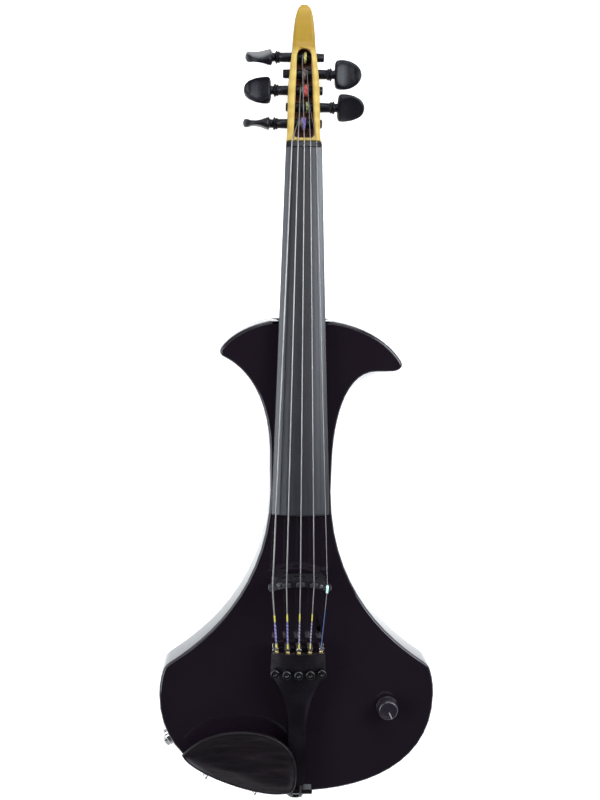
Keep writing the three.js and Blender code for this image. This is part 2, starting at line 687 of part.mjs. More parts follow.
const tailpieceHalf = smoothThrough([
  [-163.5, 5.2], [-158, 6.8], [-113, 6.8], [-98.5, 8.8], [-89, 11.4], [-77, 17.4], [-71, 21.2], [-55, 20.6],
]);
const tailpieceArch = smoothThrough([[-163.5, 90], [-100, 60], [-75, 46], [-55, 45]]);

function tailpieceSection(y) {
  const [half, radius, top] = [tailpieceHalf(y), tailpieceArch(y), tailpieceTop(y)];
  const count = 11;
  const edge = (thickness) => Array.from({ length: count }, (_, i) => {
    const x = -half + (2 * half * i) / (count - 1);
    return new THREE.Vector3(x, y, top - drop(radius, x) - thickness);
  });
  return [...edge(TAILPIECE_THICKNESS), ...edge(0).reverse()];
}

function tunerTop(string) {
  return tailpieceTop(TUNER_Y) - drop(tailpieceArch(TUNER_Y), string.tunerX);
}

function makeTailpiece() {
  const stations = [
    -55, -60, -66, -71, -74, -77, -81, -85, -89, -94, -98.5, -105, -113, -158, -161.5, -163.5,
  ];
  const plate = loft(stations.map(tailpieceSection));
  const rib = block([-19.4, 19.4], [TUNER_ROD_Y - 2.8, TUNER_ROD_Y + 2.8], [TUNER_ROD_Z - 2.4, 53.5]);
  const ribCap = loft([-57, -63].map((y) => tailpieceSection(y).map((p, i) => (
    new THREE.Vector3(p.x * 0.97, p.y, i < 11 ? 30 : p.z - 1)
  ))));
  const cordHole = rod(1.3, -2, 12, 10).rotate([90, 0, 0]);
  const cordHoles = [-3.4, 3.4].map((x) => cordHole.translate([x, -155, 43.6]));
  const leverSlots = STRINGS.map(({ tunerX: x }) => block([x - 2, x + 2], [-90, -56], [40, 50.5]));
  const screwHoles = STRINGS.map((string) => {
    const spotFace = rod(3.9, tunerTop(string), 70, 20);
    return union(rod(1.2 + RUN, 40, 65, 12), spotFace).translate([string.tunerX, TUNER_Y, 0]);
  });
  return without(
    union(plate, rib.intersect(ribCap)), ...leverSlots, ...screwHoles, ...cordHoles, tunerRod(1 + GAP),
  );
}

function tunerRod(radius) {
  return rod(radius, -19.6, 19.6, 16).rotate([0, 90, 0]).translate([0, TUNER_ROD_Y, TUNER_ROD_Z]);
}

// A lever: a boss round the rod, an arm back under its screw, and a forked arm up to the ball end.
function makeTunerLever(string) {
  const { tunerX, tailX, radius } = string;
  const z = tailStringZ(tailX);
  const side = (points, [x0, x1]) => (
    slab(points.map(([y, h]) => new THREE.Vector2(y, h)), [[x0, 0], [x1, 0]]).rotate([90, 0, 90])
  );
  const rear = [[-71.5, 44.9], [-60, 44.4], [-49.3, 44.4], [-49.3, 47], [-60, 48.6], [-71.5, 46.6]];
  const width = [tunerX - 1.6, tunerX + 1.6];
  const arm = side([[-51, 44.4], [-49.3, 44.4], [-49.3, z + 1.6], [-50.5, z + 1.6]], [-1.9, 1.9]);
  const boss = rod(2.1, -1.6, 1.6, 16).rotate([0, 90, 0]).translate([tunerX, TUNER_ROD_Y, TUNER_ROD_Z]);
  const upright = arm.translate([(tunerX + tailX) / 2, 0, 0]);
  const slit = radius + 0.35;
  const fork = block([tailX - slit, tailX + slit], [-56, -45], [z - slit - 1.2, z + 5]);
  return without(union(side(rear, width), boss, upright), tunerRod(1 + RUN), fork);
}

function makeTunerScrew(string) {
  const teeth = 12;
  const outline = Array.from({ length: teeth * 2 }, (_, i) => {
    const angle = (Math.PI * i) / teeth;
    const radius = i % 2 ? 3.05 : 3.5;
    return new THREE.Vector2(radius * Math.cos(angle), radius * Math.sin(angle));
  });
  const head = slab(outline, [[1.2, 0.4], [1.6, 0], [5.2, 0], [5.8, 0.6]]);
  const shank = turned([[1.2, 47.6 - tunerTop(string)], [1.2, 0.1], [2.2, 0.2], [2.2, 2]], 12);
  return union(head, shank).translate([string.tunerX, TUNER_Y, tunerTop(string)]);
}

function tailCordPath() {
  const strand = [
    [3.4, -156, 43.6], [3.4, -166, 43.2], [3.4, -171, 42.7], [3.6, -173.8, 41.4], [4.2, -174.9, 38.5],
    [4.9, -175, 34], [5, -175, 27],
  ].map(([x, y, z]) => new THREE.Vector3(x, y, z));
  const loop = Array.from({ length: 9 }, (_, i) => {
    const angle = (Math.PI * i) / 8;
    return new THREE.Vector3(5 * Math.cos(angle), -175, BUTTON_Z - 5 * Math.sin(angle));
  });
  return [...strand, ...loop, ...strand.map((p) => new THREE.Vector3(-p.x, p.y, p.z)).reverse()];
}

function makeEndButton() {
  return turned([
    [3.4, -22], [4.05, -1], [4.05, 0.2], [6.6, 0.3], [6.6, 1.6], [4, 2.2], [4, 4.8], [6.2, 5.4], [6.4, 7],
    [4.6, 8.2],
  ], 24).rotate([90, 0, 0]).translate([0, TAIL_Y, BUTTON_Z]);
}

function makeSaddleBlock() {
  const profile = [[-0.6, 34.7], [6.3, 34.7], [6.3, 38.4], [3, 41.4], [0, 41.6], [-1.4, 40], [-1.4, 37]]
    .map(([y, z]) => new THREE.Vector2(TAIL_Y + y, z));
  return slab(profile, [[-12.8, 0.8], [-12, 0], [12, 0], [12.8, 0.8]]).rotate([90, 0, 90]);
}

// ---------------------------------------------------------------------------------------------
// Chin rest and its clamp
// ---------------------------------------------------------------------------------------------

function makeChinRestPlate() {
  const z = REST_UNDERSIDE;
  const outline = pointsAlong(CHIN_REST, [8, 10, 2, 4, 12]);
  const cup = slab(outline, [[z, 5], [z + 2.5, 1.4], [z + 5.5, 0], [z + 9, 0.8]]);
  const bowl = Array.from({ length: 7 }, (_, i) => {
    const angle = (i / 6) * 0.9;
    return [Math.max(58 * Math.sin(angle), 0.01), -58 * Math.cos(angle)];
  });
  const dish = turned(bowl, 36).scale([0.86, 0.46, 0.7]).rotate([0, 0, -12]);
  const pedestal = clampTongue(7.5, 18, 0, [[REST_FOOT, 0], [z + 2, 0]]);
  const arm = union(
    block([-1.3, 1.3], [0, 9], [REST_FOOT, REST_FOOT + 2.4]),
    rod(1.3, 28, REST_FOOT + 2.4, 14),
  );
  const [from, to] = CLAMP_POSTS;
  const turn = THREE.MathUtils.radToDeg(Math.atan2(to[1] - from[1], to[0] - from[0]));
  const arms = atPosts(arm.rotate([0, 0, turn]));
  return union(cup.subtract(dish.translate([-44, -140, z + 48.3])), pedestal, ...arms);
}

function makeChinRestCork() {
  const overBody = slab(insetOutline(bodyOutline(), 1.5), [[0, 0], [60, 0]]);
  const pad = clampTongue(8.5, 17.5, -1, [[BODY_TOP + GAP, 0], [REST_FOOT - GAP, 0]]);
  return pad.intersect(overBody);
}

function makeClampFoot() {
  const tongue = clampTongue(-1, 19, 0, [[3.4, 0.8], [4.2, 0], [CLAMP_LEDGE - GAP, 0]]);
  const ears = atPosts(turned([[2.8, 3.4], [3.6, 4.2], [3.6, CLAMP_LEDGE - GAP]], 20));
  return union(tongue, ...ears, ...atPosts(rod(1.3, 5, 20, 14)));
}

function makeClampBarrel([x, y]) {
  const [low, high] = [CLAMP_LEDGE + 0.6, BODY_TOP - 2];
  const tube = turned([[1.8, low], [2.2, low + 0.5], [2.2, high - 0.5], [1.8, high]], 16);
  const keyHole = (z, turn) => rod(0.7, -4, 4, 8).rotate([0, 90, turn]).translate([0, 0, z]);
  const middle = (low + high) / 2;
  return without(tube, rod(1.3 + RUN, 0, 60, 14), keyHole(middle - 2, 20), keyHole(middle + 2, 110))
    .translate([x, y, 0]);
}

// ---------------------------------------------------------------------------------------------
// Volume control, output socket and rear cavity
// ---------------------------------------------------------------------------------------------

function makeKnob() {
  const knob = turned([
    [8.6, 40.8], [8.6, 42.4], [7.9, 43.4], [7.7, 50.6], [7.1, 51.4],
  ], 32);
  const shaftBore = rod(3 + RUN, 30, 48.4);
  const recess = rod(6.4, 30, 42.2);
  const pointer = block([-0.5, 0.5], [2.5, 7.9], [51, 60]).rotate([0, 0, -155]);
  return without(knob, shaftBore, recess, pointer).translate([KNOB_X, KNOB_Y, 0]);
}

function makePotentiometer() {
  const can = turned([[7.9, 21.4], [8.3, 22], [8.3, 29.4], [7.6, CAVITY.ceiling - GAP]], 28);
  const bush = rod(3.5, 29, 41.8);
  const nut = rod(5.6, BODY_TOP + GAP, BODY_TOP + 2.2, 6);
  const lugs = [-4, 0, 4].map((x) => block([x - 1, x + 1], [-13, -7], [22.6, 23.2]));
  return union(can, bush, nut, ...lugs).subtract(rod(3 + RUN, 24.5, 60)).translate([KNOB_X, KNOB_Y, 0]);
}

function makeVolumeShaft() {
  return rod(3, 24.7, 48.2).translate([KNOB_X, KNOB_Y, 0]);
}

function makeJackRing() {
  const ring = turned(
    [[8.9, -1.2], [8.9, 4.4], [8.3, 5], [7.4, 5.2], [7.4, 7.4], [6.8, 8], [5.6, 8.4]],
    28,
  );
  const flats = rod(8, 5.2, 10, 6).add(rod(12, -3, 5.2, 12));
  return jackPlaced(ring.intersect(flats).subtract(rod(4.8, -4, 10)));
}

function makeJackSocket() {
  const barrel = turned([[6.2, -33], [6.2, -3], [4.7, -2.4], [4.7, 8], [4.3, 8.6]], 24);
  return jackPlaced(barrel.subtract(rod(SOCKET_RADIUS, -30, 10)));
}

function coverOutline(margin) {
  const grow = COVER_MARGIN + margin;
  const [[x0, x1], [y0, y1]] = [CAVITY.x, CAVITY.y];
  return roundedRectangle([x0 - grow, x1 + grow], [y0 - grow, y1 + grow], CAVITY.corner);
}

function coverScrewPlaces() {
  const [[x0, x1], [y0, y1]] = [CAVITY.x, CAVITY.y];
  const out = 0.9;
  return [[x0 + out, y0 + out], [x1 - out, y0 + out], [x1 - out, y1 - out], [x0 + out, y1 - out]];
}

function makeRearCover() {
  const top = COVER_BOTTOM + COVER_THICKNESS;
  const plate = slab(coverOutline(0), [[COVER_BOTTOM, 0.4], [COVER_BOTTOM + 0.4, 0], [top, 0]]);
  const sunk = turned([[2.6, 0], [1.5, 2.2], [1.5, 5]], 12);
  return without(plate, ...coverScrewPlaces().map(([x, y]) => sunk.translate([x, y, 0])));
}

function makeCoverScrew([x, y]) {
  const screw = turned([[2.2, COVER_BOTTOM], [1.1, 2], [1.1, 11], [0.4, 12.4]], 12);
  const slots = [[0.3, 1.6], [1.6, 0.3]].map(([a, b]) => block([-a, a], [-b, b], [-1, 1.1]));
  return without(screw, ...slots).translate([x, y, 0]);
}

function makeBattery() {
  const footprint = roundedRectangle([24, 72], [-130.2, -104.6], 2, 2);
  const cell = slab(footprint, [[3.2, 0.5], [3.7, 0], [19.7, 0], [20.2, 0.5]]);
  const stud = rod(2.9, 0, 2.4, 12).rotate([0, -90, 0]);
  const terminals = [-123.5, -111.5].map((y) => stud.translate([24.2, y, 11.7]));
  return union(cell, ...terminals);
}

function makePreampBoard() {
  const board = block([29, 60], [-102.5, -85], [9, 10.6]);
  const parts = [[34, -97, 3, 2.4], [43, -90, 4, 3], [43, -98, 2.5, 2], [53, -94, 3, 4]].map(
    ([x, y, reach, height]) => block([x - reach, x + reach], [y - 2, y + 2], [10.5, 10.6 + height]),
  );
  const post = rod(1.6, 10, CAVITY.ceiling - GAP, 10);
  return union(board, ...parts, post.translate([31, -87, 0]), post.translate([58, -87, 0]));
}

// ---------------------------------------------------------------------------------------------
// Assembly
// ---------------------------------------------------------------------------------------------

addPiece('body', makeBody(), BLACK);
addPiece('neck_and_head', makeNeck(), MAPLE);
addPiece('fingerboard', makeFingerboard(), SATIN);
addPiece('nut', makeNut(), BLACK);
addPiece('bridge', makeBridge(), SATIN);
addPiece('tailpiece', makeTailpiece(), SATIN);
addPiece('tuner_rod', tunerRod(1), STEEL);
STRINGS.forEach((string) => {
  addPiece(`peg_${string.name}`, makePeg(string), SATIN);
  addPiece(`string_${string.name}`, makeString(string), STEEL);
  addPiece(`ball_end_${string.name}`, makeBallEnd(string), BRASS);
  addPiece(`pickup_saddle_${string.name}`, makeSaddle(string), BLACK);
  addPiece(`tuner_lever_${string.name}`, makeTunerLever(string), BRASS);
  addPiece(`tuner_screw_${string.name}`, makeTunerScrew(string), STEEL);
});
addPiece('string_sleeve_e', makeSleeve(STRINGS[4]), 0xb8e8d4);
bridgeScrewPlaces().forEach((place, i) => addPiece(`bridge_screw_${i + 1}`, makeBridgeScrew(place), STEEL));
addPiece('tail_cord', bar(tailCordPath(), 0.8, 8), BLACK);
addPiece('tail_saddle', makeSaddleBlock(), BLACK);
addPiece('end_button', makeEndButton(), BLACK);
addPiece('chin_rest_plate', makeChinRestPlate(), SATIN);
addPiece('chin_rest_cork', makeChinRestCork(), 0xb08a5a);
addPiece('chin_rest_clamp_foot', makeClampFoot(), STEEL);
CLAMP_POSTS.forEach((place, i) => addPiece(`clamp_barrel_${i + 1}`, makeClampBarrel(place), STEEL));
addPiece('volume_knob', makeKnob(), BLACK);
addPiece('volume_shaft', makeVolumeShaft(), STEEL);
addPiece('volume_potentiometer', makePotentiometer(), STEEL);
addPiece('jack_ring', makeJackRing(), STEEL);
addPiece('jack_socket', makeJackSocket(), BLACK);
addPiece('rear_cover', makeRearCover(), BLACK);
coverScrewPlaces().forEach((place, i) => addPiece(`cover_screw_${i + 1}`, makeCoverScrew(place), STEEL));
addPiece('battery', makeBattery(), BLACK);
addPiece('preamp_board', makePreampBoard(), 0x2f6b3a);

export default group;
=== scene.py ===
"""Looks of a five-string solid-body electric violin that lies on its back.

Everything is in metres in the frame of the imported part: +Z leaves the playing face, +Y runs along the neck
to the head, +X is the treble side, and the origin is on the flat back below the bridge. Lengths written in
millimetres are multiplied by MM.
"""

import math

import bmesh
import bpy
from mathutils import Matrix, Vector


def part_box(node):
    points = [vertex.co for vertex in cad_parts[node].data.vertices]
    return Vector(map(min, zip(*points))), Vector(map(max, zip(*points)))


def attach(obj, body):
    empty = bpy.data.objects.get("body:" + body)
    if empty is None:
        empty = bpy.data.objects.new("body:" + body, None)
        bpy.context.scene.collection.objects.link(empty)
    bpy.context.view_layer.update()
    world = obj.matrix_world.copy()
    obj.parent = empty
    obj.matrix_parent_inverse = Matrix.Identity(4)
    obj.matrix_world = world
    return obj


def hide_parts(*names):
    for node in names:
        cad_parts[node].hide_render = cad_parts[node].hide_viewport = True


MM = 0.001

# Camera, close to a fit to the photograph at a distance that was chosen, not fitted
CAMERA_PLACE = (-0.05333, 0.27678, 1.138)
CAMERA_TURNS = (-0.1253, -0.04755, 0.0069)     # pitch, yaw and roll in radians
FOCAL_PIXELS = 1464.02
IMAGE_HEIGHT = 800

# Light and floor
DAYLIGHT = (0.86, 0.92, 1.0)
STRIP_BRIGHTNESS = 8.0
FLOOR_HALF_WIDTH = 6.0
FLOOR_DROP = 0.0003                            # keeps the floor clear of the flat back

# Clean-up of the CAD nodes
WELD_DISTANCE = 0.000002
FLAT_WITHIN = 0.6                              # facets up to this many degrees apart become one
BEVEL_FROM = 35                                # edges sharper than this many degrees are softened

# Dimensions of the part that the pieces below share, in millimetres
STRING_NAMES = ("c", "g", "d", "a", "e")
STRING_RADII = (0.55, 0.48, 0.42, 0.36, 0.22)
PEG_ORDER = (0, 2, 4, 3, 1)                   # peg holes counted from the nut
PEG_SIDES = (-1, -1, -1, 1, 1)
PEG_TURNS = (90, 30, 68, -6, 34)              # of the thumb pieces, in degrees
PEG_SEATS = (0, -0.4, -1.4, -1.8, 0.4)        # how far each peg is shifted towards its thumb piece
WINDING_STARTS = (-4, -2.6, -1.4, 2.4, 4.2)   # X of each winding's first turn
WINDING_TURNS = (4.6, 5.2, 3.2, 3.6, 4.4)
WINDING_STEPS = 28                             # points along one turn
WINDING_LIFT = 0.05                            # between the peg's wood and the string
WINDING_GAP = 0.14                             # between one turn and the next
NUT_SPACING = 4.6
BRIDGE_SPACING = 10.3
TAIL_SPACING = 8.45
NUT_Y = 328
NUT_LENGTH = 3.4
NUT_CROWN = 40.2
NUT_INSET = 0.4                                # from the nut's edges to where a string bends
STRING_OVER_NUT = 0.9
STRING_FALL_AT_NUT = 0.9                       # from the nut's front to its back
BOARD_RADIUS = 42
HEAD_START_Y = 332
HEAD_START_Z = 36
HEAD_SLOPE = math.tan(math.radians(10))
SLOT_START_Y = 334.5
SLOT_END_Y = 400.8
SLOT_TAPER = 0.0386                            # narrowing of the half width along Y
SLOT_HALF_WIDTH = 20.8                         # that the taper would reach at Y 0
SLOT_MARGIN = 0.02
SLOT_TOP_MARGIN = 1.0
FIRST_PEG_Y = 345
PEG_SPACING = 12.4
PEG_DROP = 8.5
PEG_WALL_RADIUS = 3.65
PEG_WALL = 12.6
PEG_TIP_RADIUS = 3.3
PEG_TIP = 13.9
PEG_COLLAR = 19.8
PEG_THUMB = 25
PEG_LENGTH = 45.4
THUMB_ROUNDNESS = 0.6                          # 1 makes an ellipse, less a rounded rectangle
# Half width and half thickness of a peg's thumb piece along the peg, as (distance, value) pairs
THUMB_WIDTHS = (
    (25, 7.5), (25.7, 9.6), (27.5, 10.8), (31, 11.2), (35.5, 10.6), (39.5, 8.9), (42.5, 6.6), (44.6, 3.6),
    (45.4, 1.2),
)
THUMB_DEPTHS = (
    (25, 2.6), (26.2, 4.7), (28.5, 4.1), (32.5, 2.7), (36, 2.1), (39.5, 2.3), (42.5, 3.2), (44.2, 3.0),
    (45.4, 1.1),
)
BRIDGE_RADIUS = 42
BRIDGE_STRING_TOP = 71
BRIDGE_BOW_RADIUS = 53
BRIDGE_BOW_TOP_Y = 3
BALL_Y = -52.6
BALL_REACH = 2                                 # from a ball's centre to where its string starts
TAIL_RADIUS = 45
TAIL_STRING_TOP = 60.6
# Thread wraps from the bridge to the ball, as (colour, start, end) with shares of the way
TAIL_THREADS = (("gold", 0.43, 0.55), ("tail", 0.55, 0.9), ("gold", 0.9, 0.985))
E_TAIL_THREADS = (("tail", 0.35, 0.985),)
PEG_THREAD_START = 0.42                        # share of the winding that stays bare
TAIL_THREAD_DEPTH = 0.1
PEG_THREAD_DEPTH = 0.06
HEEL_END_Y = 222                              # below this the neck's heel is lacquered like the body
TUNER_Y = -70
TUNER_SPACING = 9
TUNER_HEAD = 5.8                               # height of a screw's head over its seat
THREAD_DEPTH = 0.14
KNOB = (70.2, -101.7)
POINTER_TURN = -155
CLAMP_POSTS = ((-70.6, -158.2), (-32.5, -171.4))
REST_FOOT = 43
REST_UNDERSIDE = 51
REST_MIDDLE = (-44, -141)
PEDESTAL_NEAR = 7.5                            # from the line through the posts to the pedestal's sides
PEDESTAL_FAR = 18
PEDESTAL_PAST_POSTS = 1.5
PEDESTAL_CORNER = 2.2
STUD_START = 28
STUD_PITCH = 0.25
STUD_RADIUS = 1.3
BEND_START = 42.3
BEND_RISE = 1.8
BEND_REACH = 1.9
ARM_RADIUS = 1.25
ARM_LENGTH = 9
# The chin rest's outline, as cubic curves of four handles each
CHIN_REST = (
    ((-88.5, -133.8), (-77, -120.5), (-61, -115), (-43.5, -115)),
    ((-43.5, -115), (-22, -115), (-1.5, -124), (-0.6, -146)),
    ((-0.6, -146), (-0.4, -153), (-0.8, -157), (-1.8, -160.5)),
    ((-1.8, -160.5), (-3.5, -165), (-9, -165.4), (-16, -165.4)),
    ((-16, -165.4), (-42, -164.5), (-84, -146), (-88.5, -133.8)),
)


# ---------------------------------------------------------------------------------------------
# Mesh tools
# ---------------------------------------------------------------------------------------------

def drop(radius, x):
    """How far an arc of a radius has dropped at a distance from its top."""
    return radius - math.sqrt(radius * radius - x * x)


def smooth_through(pairs):
    """A function whose curve runs smoothly through (position, value) pairs and never overshoots them."""
    slopes = [(b[1] - a[1]) / (b[0] - a[0]) for a, b in zip(pairs, pairs[1:])]
    inner = [0 if a * b <= 0 else 2 * a * b / (a + b) for a, b in zip(slopes, slopes[1:])]
    tangents = [slopes[0], *inner, slopes[-1]]

    def value(at):
        k = max(i for i in range(len(slopes)) if i == 0 or pairs[i][0] <= at)
        (start, low), (end, high) = pairs[k], pairs[k + 1]
        t = (at - start) / (end - start)
        bend = (end - start) * t * (1 - t) * (tangents[k] * (1 - t) - tangents[k + 1] * t)
        return low * (1 + 2 * t) * (1 - t) ** 2 + high * t * t * (3 - 2 * t) + bend

    return value


def loft(rings):
    """A closed shell through rings of equally many points, with a flat face at each end."""
    count = len(rings[0])
    verts = [tuple(p) for ring in rings for p in ring]
    faces = [
        (k * count + i, k * count + (i + 1) % count, (k + 1) * count + (i + 1) % count, (k + 1) * count + i)
        for k in range(len(rings) - 1)
        for i in range(count)
    ]
    last = (len(rings) - 1) * count
    faces.append(tuple(range(count))[::-1])
    faces.append(tuple(range(last, last + count)))
    return verts, faces


def turned(profile, sides):
    """A shell turned about +Z from (radius, height) pairs."""
    angles = [2 * math.pi * i / sides for i in range(sides)]
    return loft([[(r * math.cos(a), r * math.sin(a), z) for a in angles] for r, z in profile])


def tube(path, radii, sides):
    """A round shell along a path of Vectors, with one radius for each point."""
    normal = Vector((1, 0, 0))
    rings = []
    for i, point in enumerate(path):
        along = (path[min(i + 1, len(path) - 1)] - path[max(i - 1, 0)]).normalized()
        normal = (normal - along * normal.dot(along)).normalized()
        across = along.cross(normal)
        angles = [2 * math.pi * s / sides for s in range(sides)]
        rings.append([point + radii[i] * (normal * math.cos(a) + across * math.sin(a)) for a in angles])
    return loft(rings)


def moved(shell, matrix):
    """A shell after a change of place."""
    return [tuple(matrix @ Vector(v)) for v in shell[0]], shell[1]


def joined(shells):
    """Several shells as one."""
    verts, faces = [], []
    for some_verts, some_faces in shells:
        faces += [tuple(i + len(verts) for i in face) for face in some_faces]
        verts += some_verts
    return verts, faces


def bezier(handles, steps):
    """Points along one plane cubic, without its last one."""
    points = []
    for i in range(steps):
        t = i / steps
        weights = ((1 - t) ** 3, 3 * t * (1 - t) ** 2, 3 * t * t * (1 - t), t ** 3)
        points.append(tuple(sum(w * h[k] for w, h in zip(weights, handles)) for k in (0, 1)))
    return points


def piece(name, shell, body, material, replaces=(), sharp=40):
    """A new visible piece, from a shell in millimetres, that moves with a body."""
    mesh = bpy.data.meshes.new(name)
    verts, faces = shell
    mesh.from_pydata([tuple(c * MM for c in v) for v in verts], [], faces)
    bm = bmesh.new()
    bm.from_mesh(mesh)
    bmesh.ops.recalc_face_normals(bm, faces=bm.faces)
    bm.to_mesh(mesh)
    bm.free()
    mesh.shade_smooth()
    mesh.set_sharp_from_angle(angle=math.radians(sharp))
    mesh.materials.append(material)
    made = bpy.data.objects.new(name, mesh)
    bpy.context.scene.collection.objects.link(made)
    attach(made, body)
    if replaces:
        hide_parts(*replaces)


def dress(name, material, bevel):
    """A CAD node with its shape kept: joined facets, edges softened by a bevel, and a detailed material."""
    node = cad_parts[name]
    node.data.materials.clear()
    node.data.materials.append(material)
    for attribute in ("custom_normal", "sharp_edge", "sharp_face"):
        if attribute in node.data.attributes:
            node.data.attributes.remove(node.data.attributes[attribute])
    weld = node.modifiers.new("weld", "WELD")
    weld.merge_threshold = WELD_DISTANCE
    planes = node.modifiers.new("planes", "DECIMATE")
    planes.decimate_type = "DISSOLVE"
    planes.angle_limit = math.radians(FLAT_WITHIN)
    if bevel:
        soft = node.modifiers.new("edges", "BEVEL")
        soft.width = bevel * MM
        soft.segments = 2
        soft.limit_method = "ANGLE"
        soft.angle_limit = math.radians(BEVEL_FROM)
    smooth = node.modifiers.new("normals", "WEIGHTED_NORMAL")
    smooth.weight = 80


# ---------------------------------------------------------------------------------------------
# Material tools
# ---------------------------------------------------------------------------------------------

class Nodes:
    """Short ways to add nodes to a tree, with plain values or other nodes' outputs as their inputs."""

    def __init__(self, tree):
        self.tree = tree

    def set(self, node, sockets):
        """Fill inputs by name, where _ stands for a space, or by number."""
        for key, value in sockets.items():
            socket = node.inputs[key if isinstance(key, int) else key.replace("_", " ")]
            if isinstance(value, bpy.types.NodeSocket):
                self.tree.links.new(value, socket)
            elif isinstance(value, tuple) and len(value) == 3 and socket.type == "RGBA":
                socket.default_value = (*value, 1)
            else:
                socket.default_value = value

    def node(self, kind, settings=(), **sockets):
        """A new node, with its settings and inputs."""
        made = self.tree.nodes.new("ShaderNode" + kind)
        for key, value in dict(settings).items():
            setattr(made, key, value)
        self.set(made, sockets)
        return made

    def math(self, operation, first, second=0.0):
        """The result of one operation on two numbers."""
        made = self.node("Math", {"operation": operation})
        self.set(made, {0: first, 1: second})
        return made.outputs[0]

    def within(self, value, low, high):
        """1 where a value lies between two limits, else 0."""
        above = self.math("GREATER_THAN", value, low)
        return self.math("MULTIPLY", above, self.math("LESS_THAN", value, high))

    def ramp(self, factor, *stops):
        """Colours or greys along a factor, as (position, value) pairs."""
        made = self.node("ValToRGB", Fac=factor)
        elements = made.color_ramp.elements
        while len(elements) < len(stops):
            elements.new(0.5)
        for element, (position, value) in zip(elements, stops):
            element.position = position
            element.color = (*value, 1) if isinstance(value, tuple) else (value, value, value, 1)
        return made.outputs["Color"]


class Finish(Nodes):
    """A material under construction: its node tree, its shader and the object's own coordinates."""

    def __init__(self, name, **sockets):
        self.material = bpy.data.materials.new(name)
        self.material.use_nodes = True
        super().__init__(self.material.node_tree)
        self.shader = self.tree.nodes["Principled BSDF"]
        self.place = self.node("TexCoord").outputs["Object"]
        self.set(self.shader, sockets)

    def stretched(self, x, y, z):
        """The object's coordinates with each axis scaled."""
        return self.node("Mapping", Vector=self.place, Scale=(x, y, z)).outputs[0]

    def noise(self, scale, detail, vector=None, rough=0.5, distortion=0.0):
        """Smooth noise over the object's coordinates, or over other ones."""
        sockets = {"Scale": scale, "Detail": detail, "Roughness": rough, "Distortion": distortion}
        return self.node("TexNoise", Vector=vector or self.place, **sockets).outputs["Fac"]

    def bands(self, direction, scale, distortion, detail=1, vector=None, detail_scale=1.0):
        """Parallel bands over the object's coordinates, or over other ones."""
        settings = {"wave_type": "BANDS", "bands_direction": direction, "wave_profile": "SIN"}
        sockets = {"Scale": scale, "Distortion": distortion, "Detail": detail, "Detail Scale": detail_scale}
        return self.node("TexWave", settings, Vector=vector or self.place, **sockets).outputs["Fac"]

    def mix(self, factor, first, second):
        """Two colours mixed, by the numbers of the node's colour inputs and output."""
        made = self.node("Mix", {"data_type": "RGBA"})
        self.set(made, {0: factor, 6: first, 7: second})
        return made.outputs[2]

    def bump(self, height, strength, distance, normal=None):
        """A normal from a height, on top of another normal if there is one."""
        made = self.node("Bump", Height=height, Strength=strength, Distance=distance)
        if normal:
            self.set(made, {"Normal": normal})
        return made.outputs[0]

    def done(self, **sockets):
        """The material, once the shader's last inputs are filled."""
        self.set(self.shader, sockets)
        return self.material


def black_lacquer():
    """Deep gloss over near-black, with faint swirls in the polish and a little orange peel."""
    f = Finish("black_lacquer", Specular_IOR_Level=0.38)
    cloud = f.noise(9, 5)
    smudge = f.noise(38, 8, rough=0.65)
    peel = f.noise(900, 2)
    return f.done(
        Base_Color=f.ramp(cloud, (0.3, (0.0052, 0.0030, 0.0056)), (0.7, (0.0082, 0.0052, 0.0088))),
        Roughness=f.ramp(smudge, (0.35, 0.05), (0.75, 0.12)),
        Normal=f.bump(peel, 0.05, 0.0002),
    )


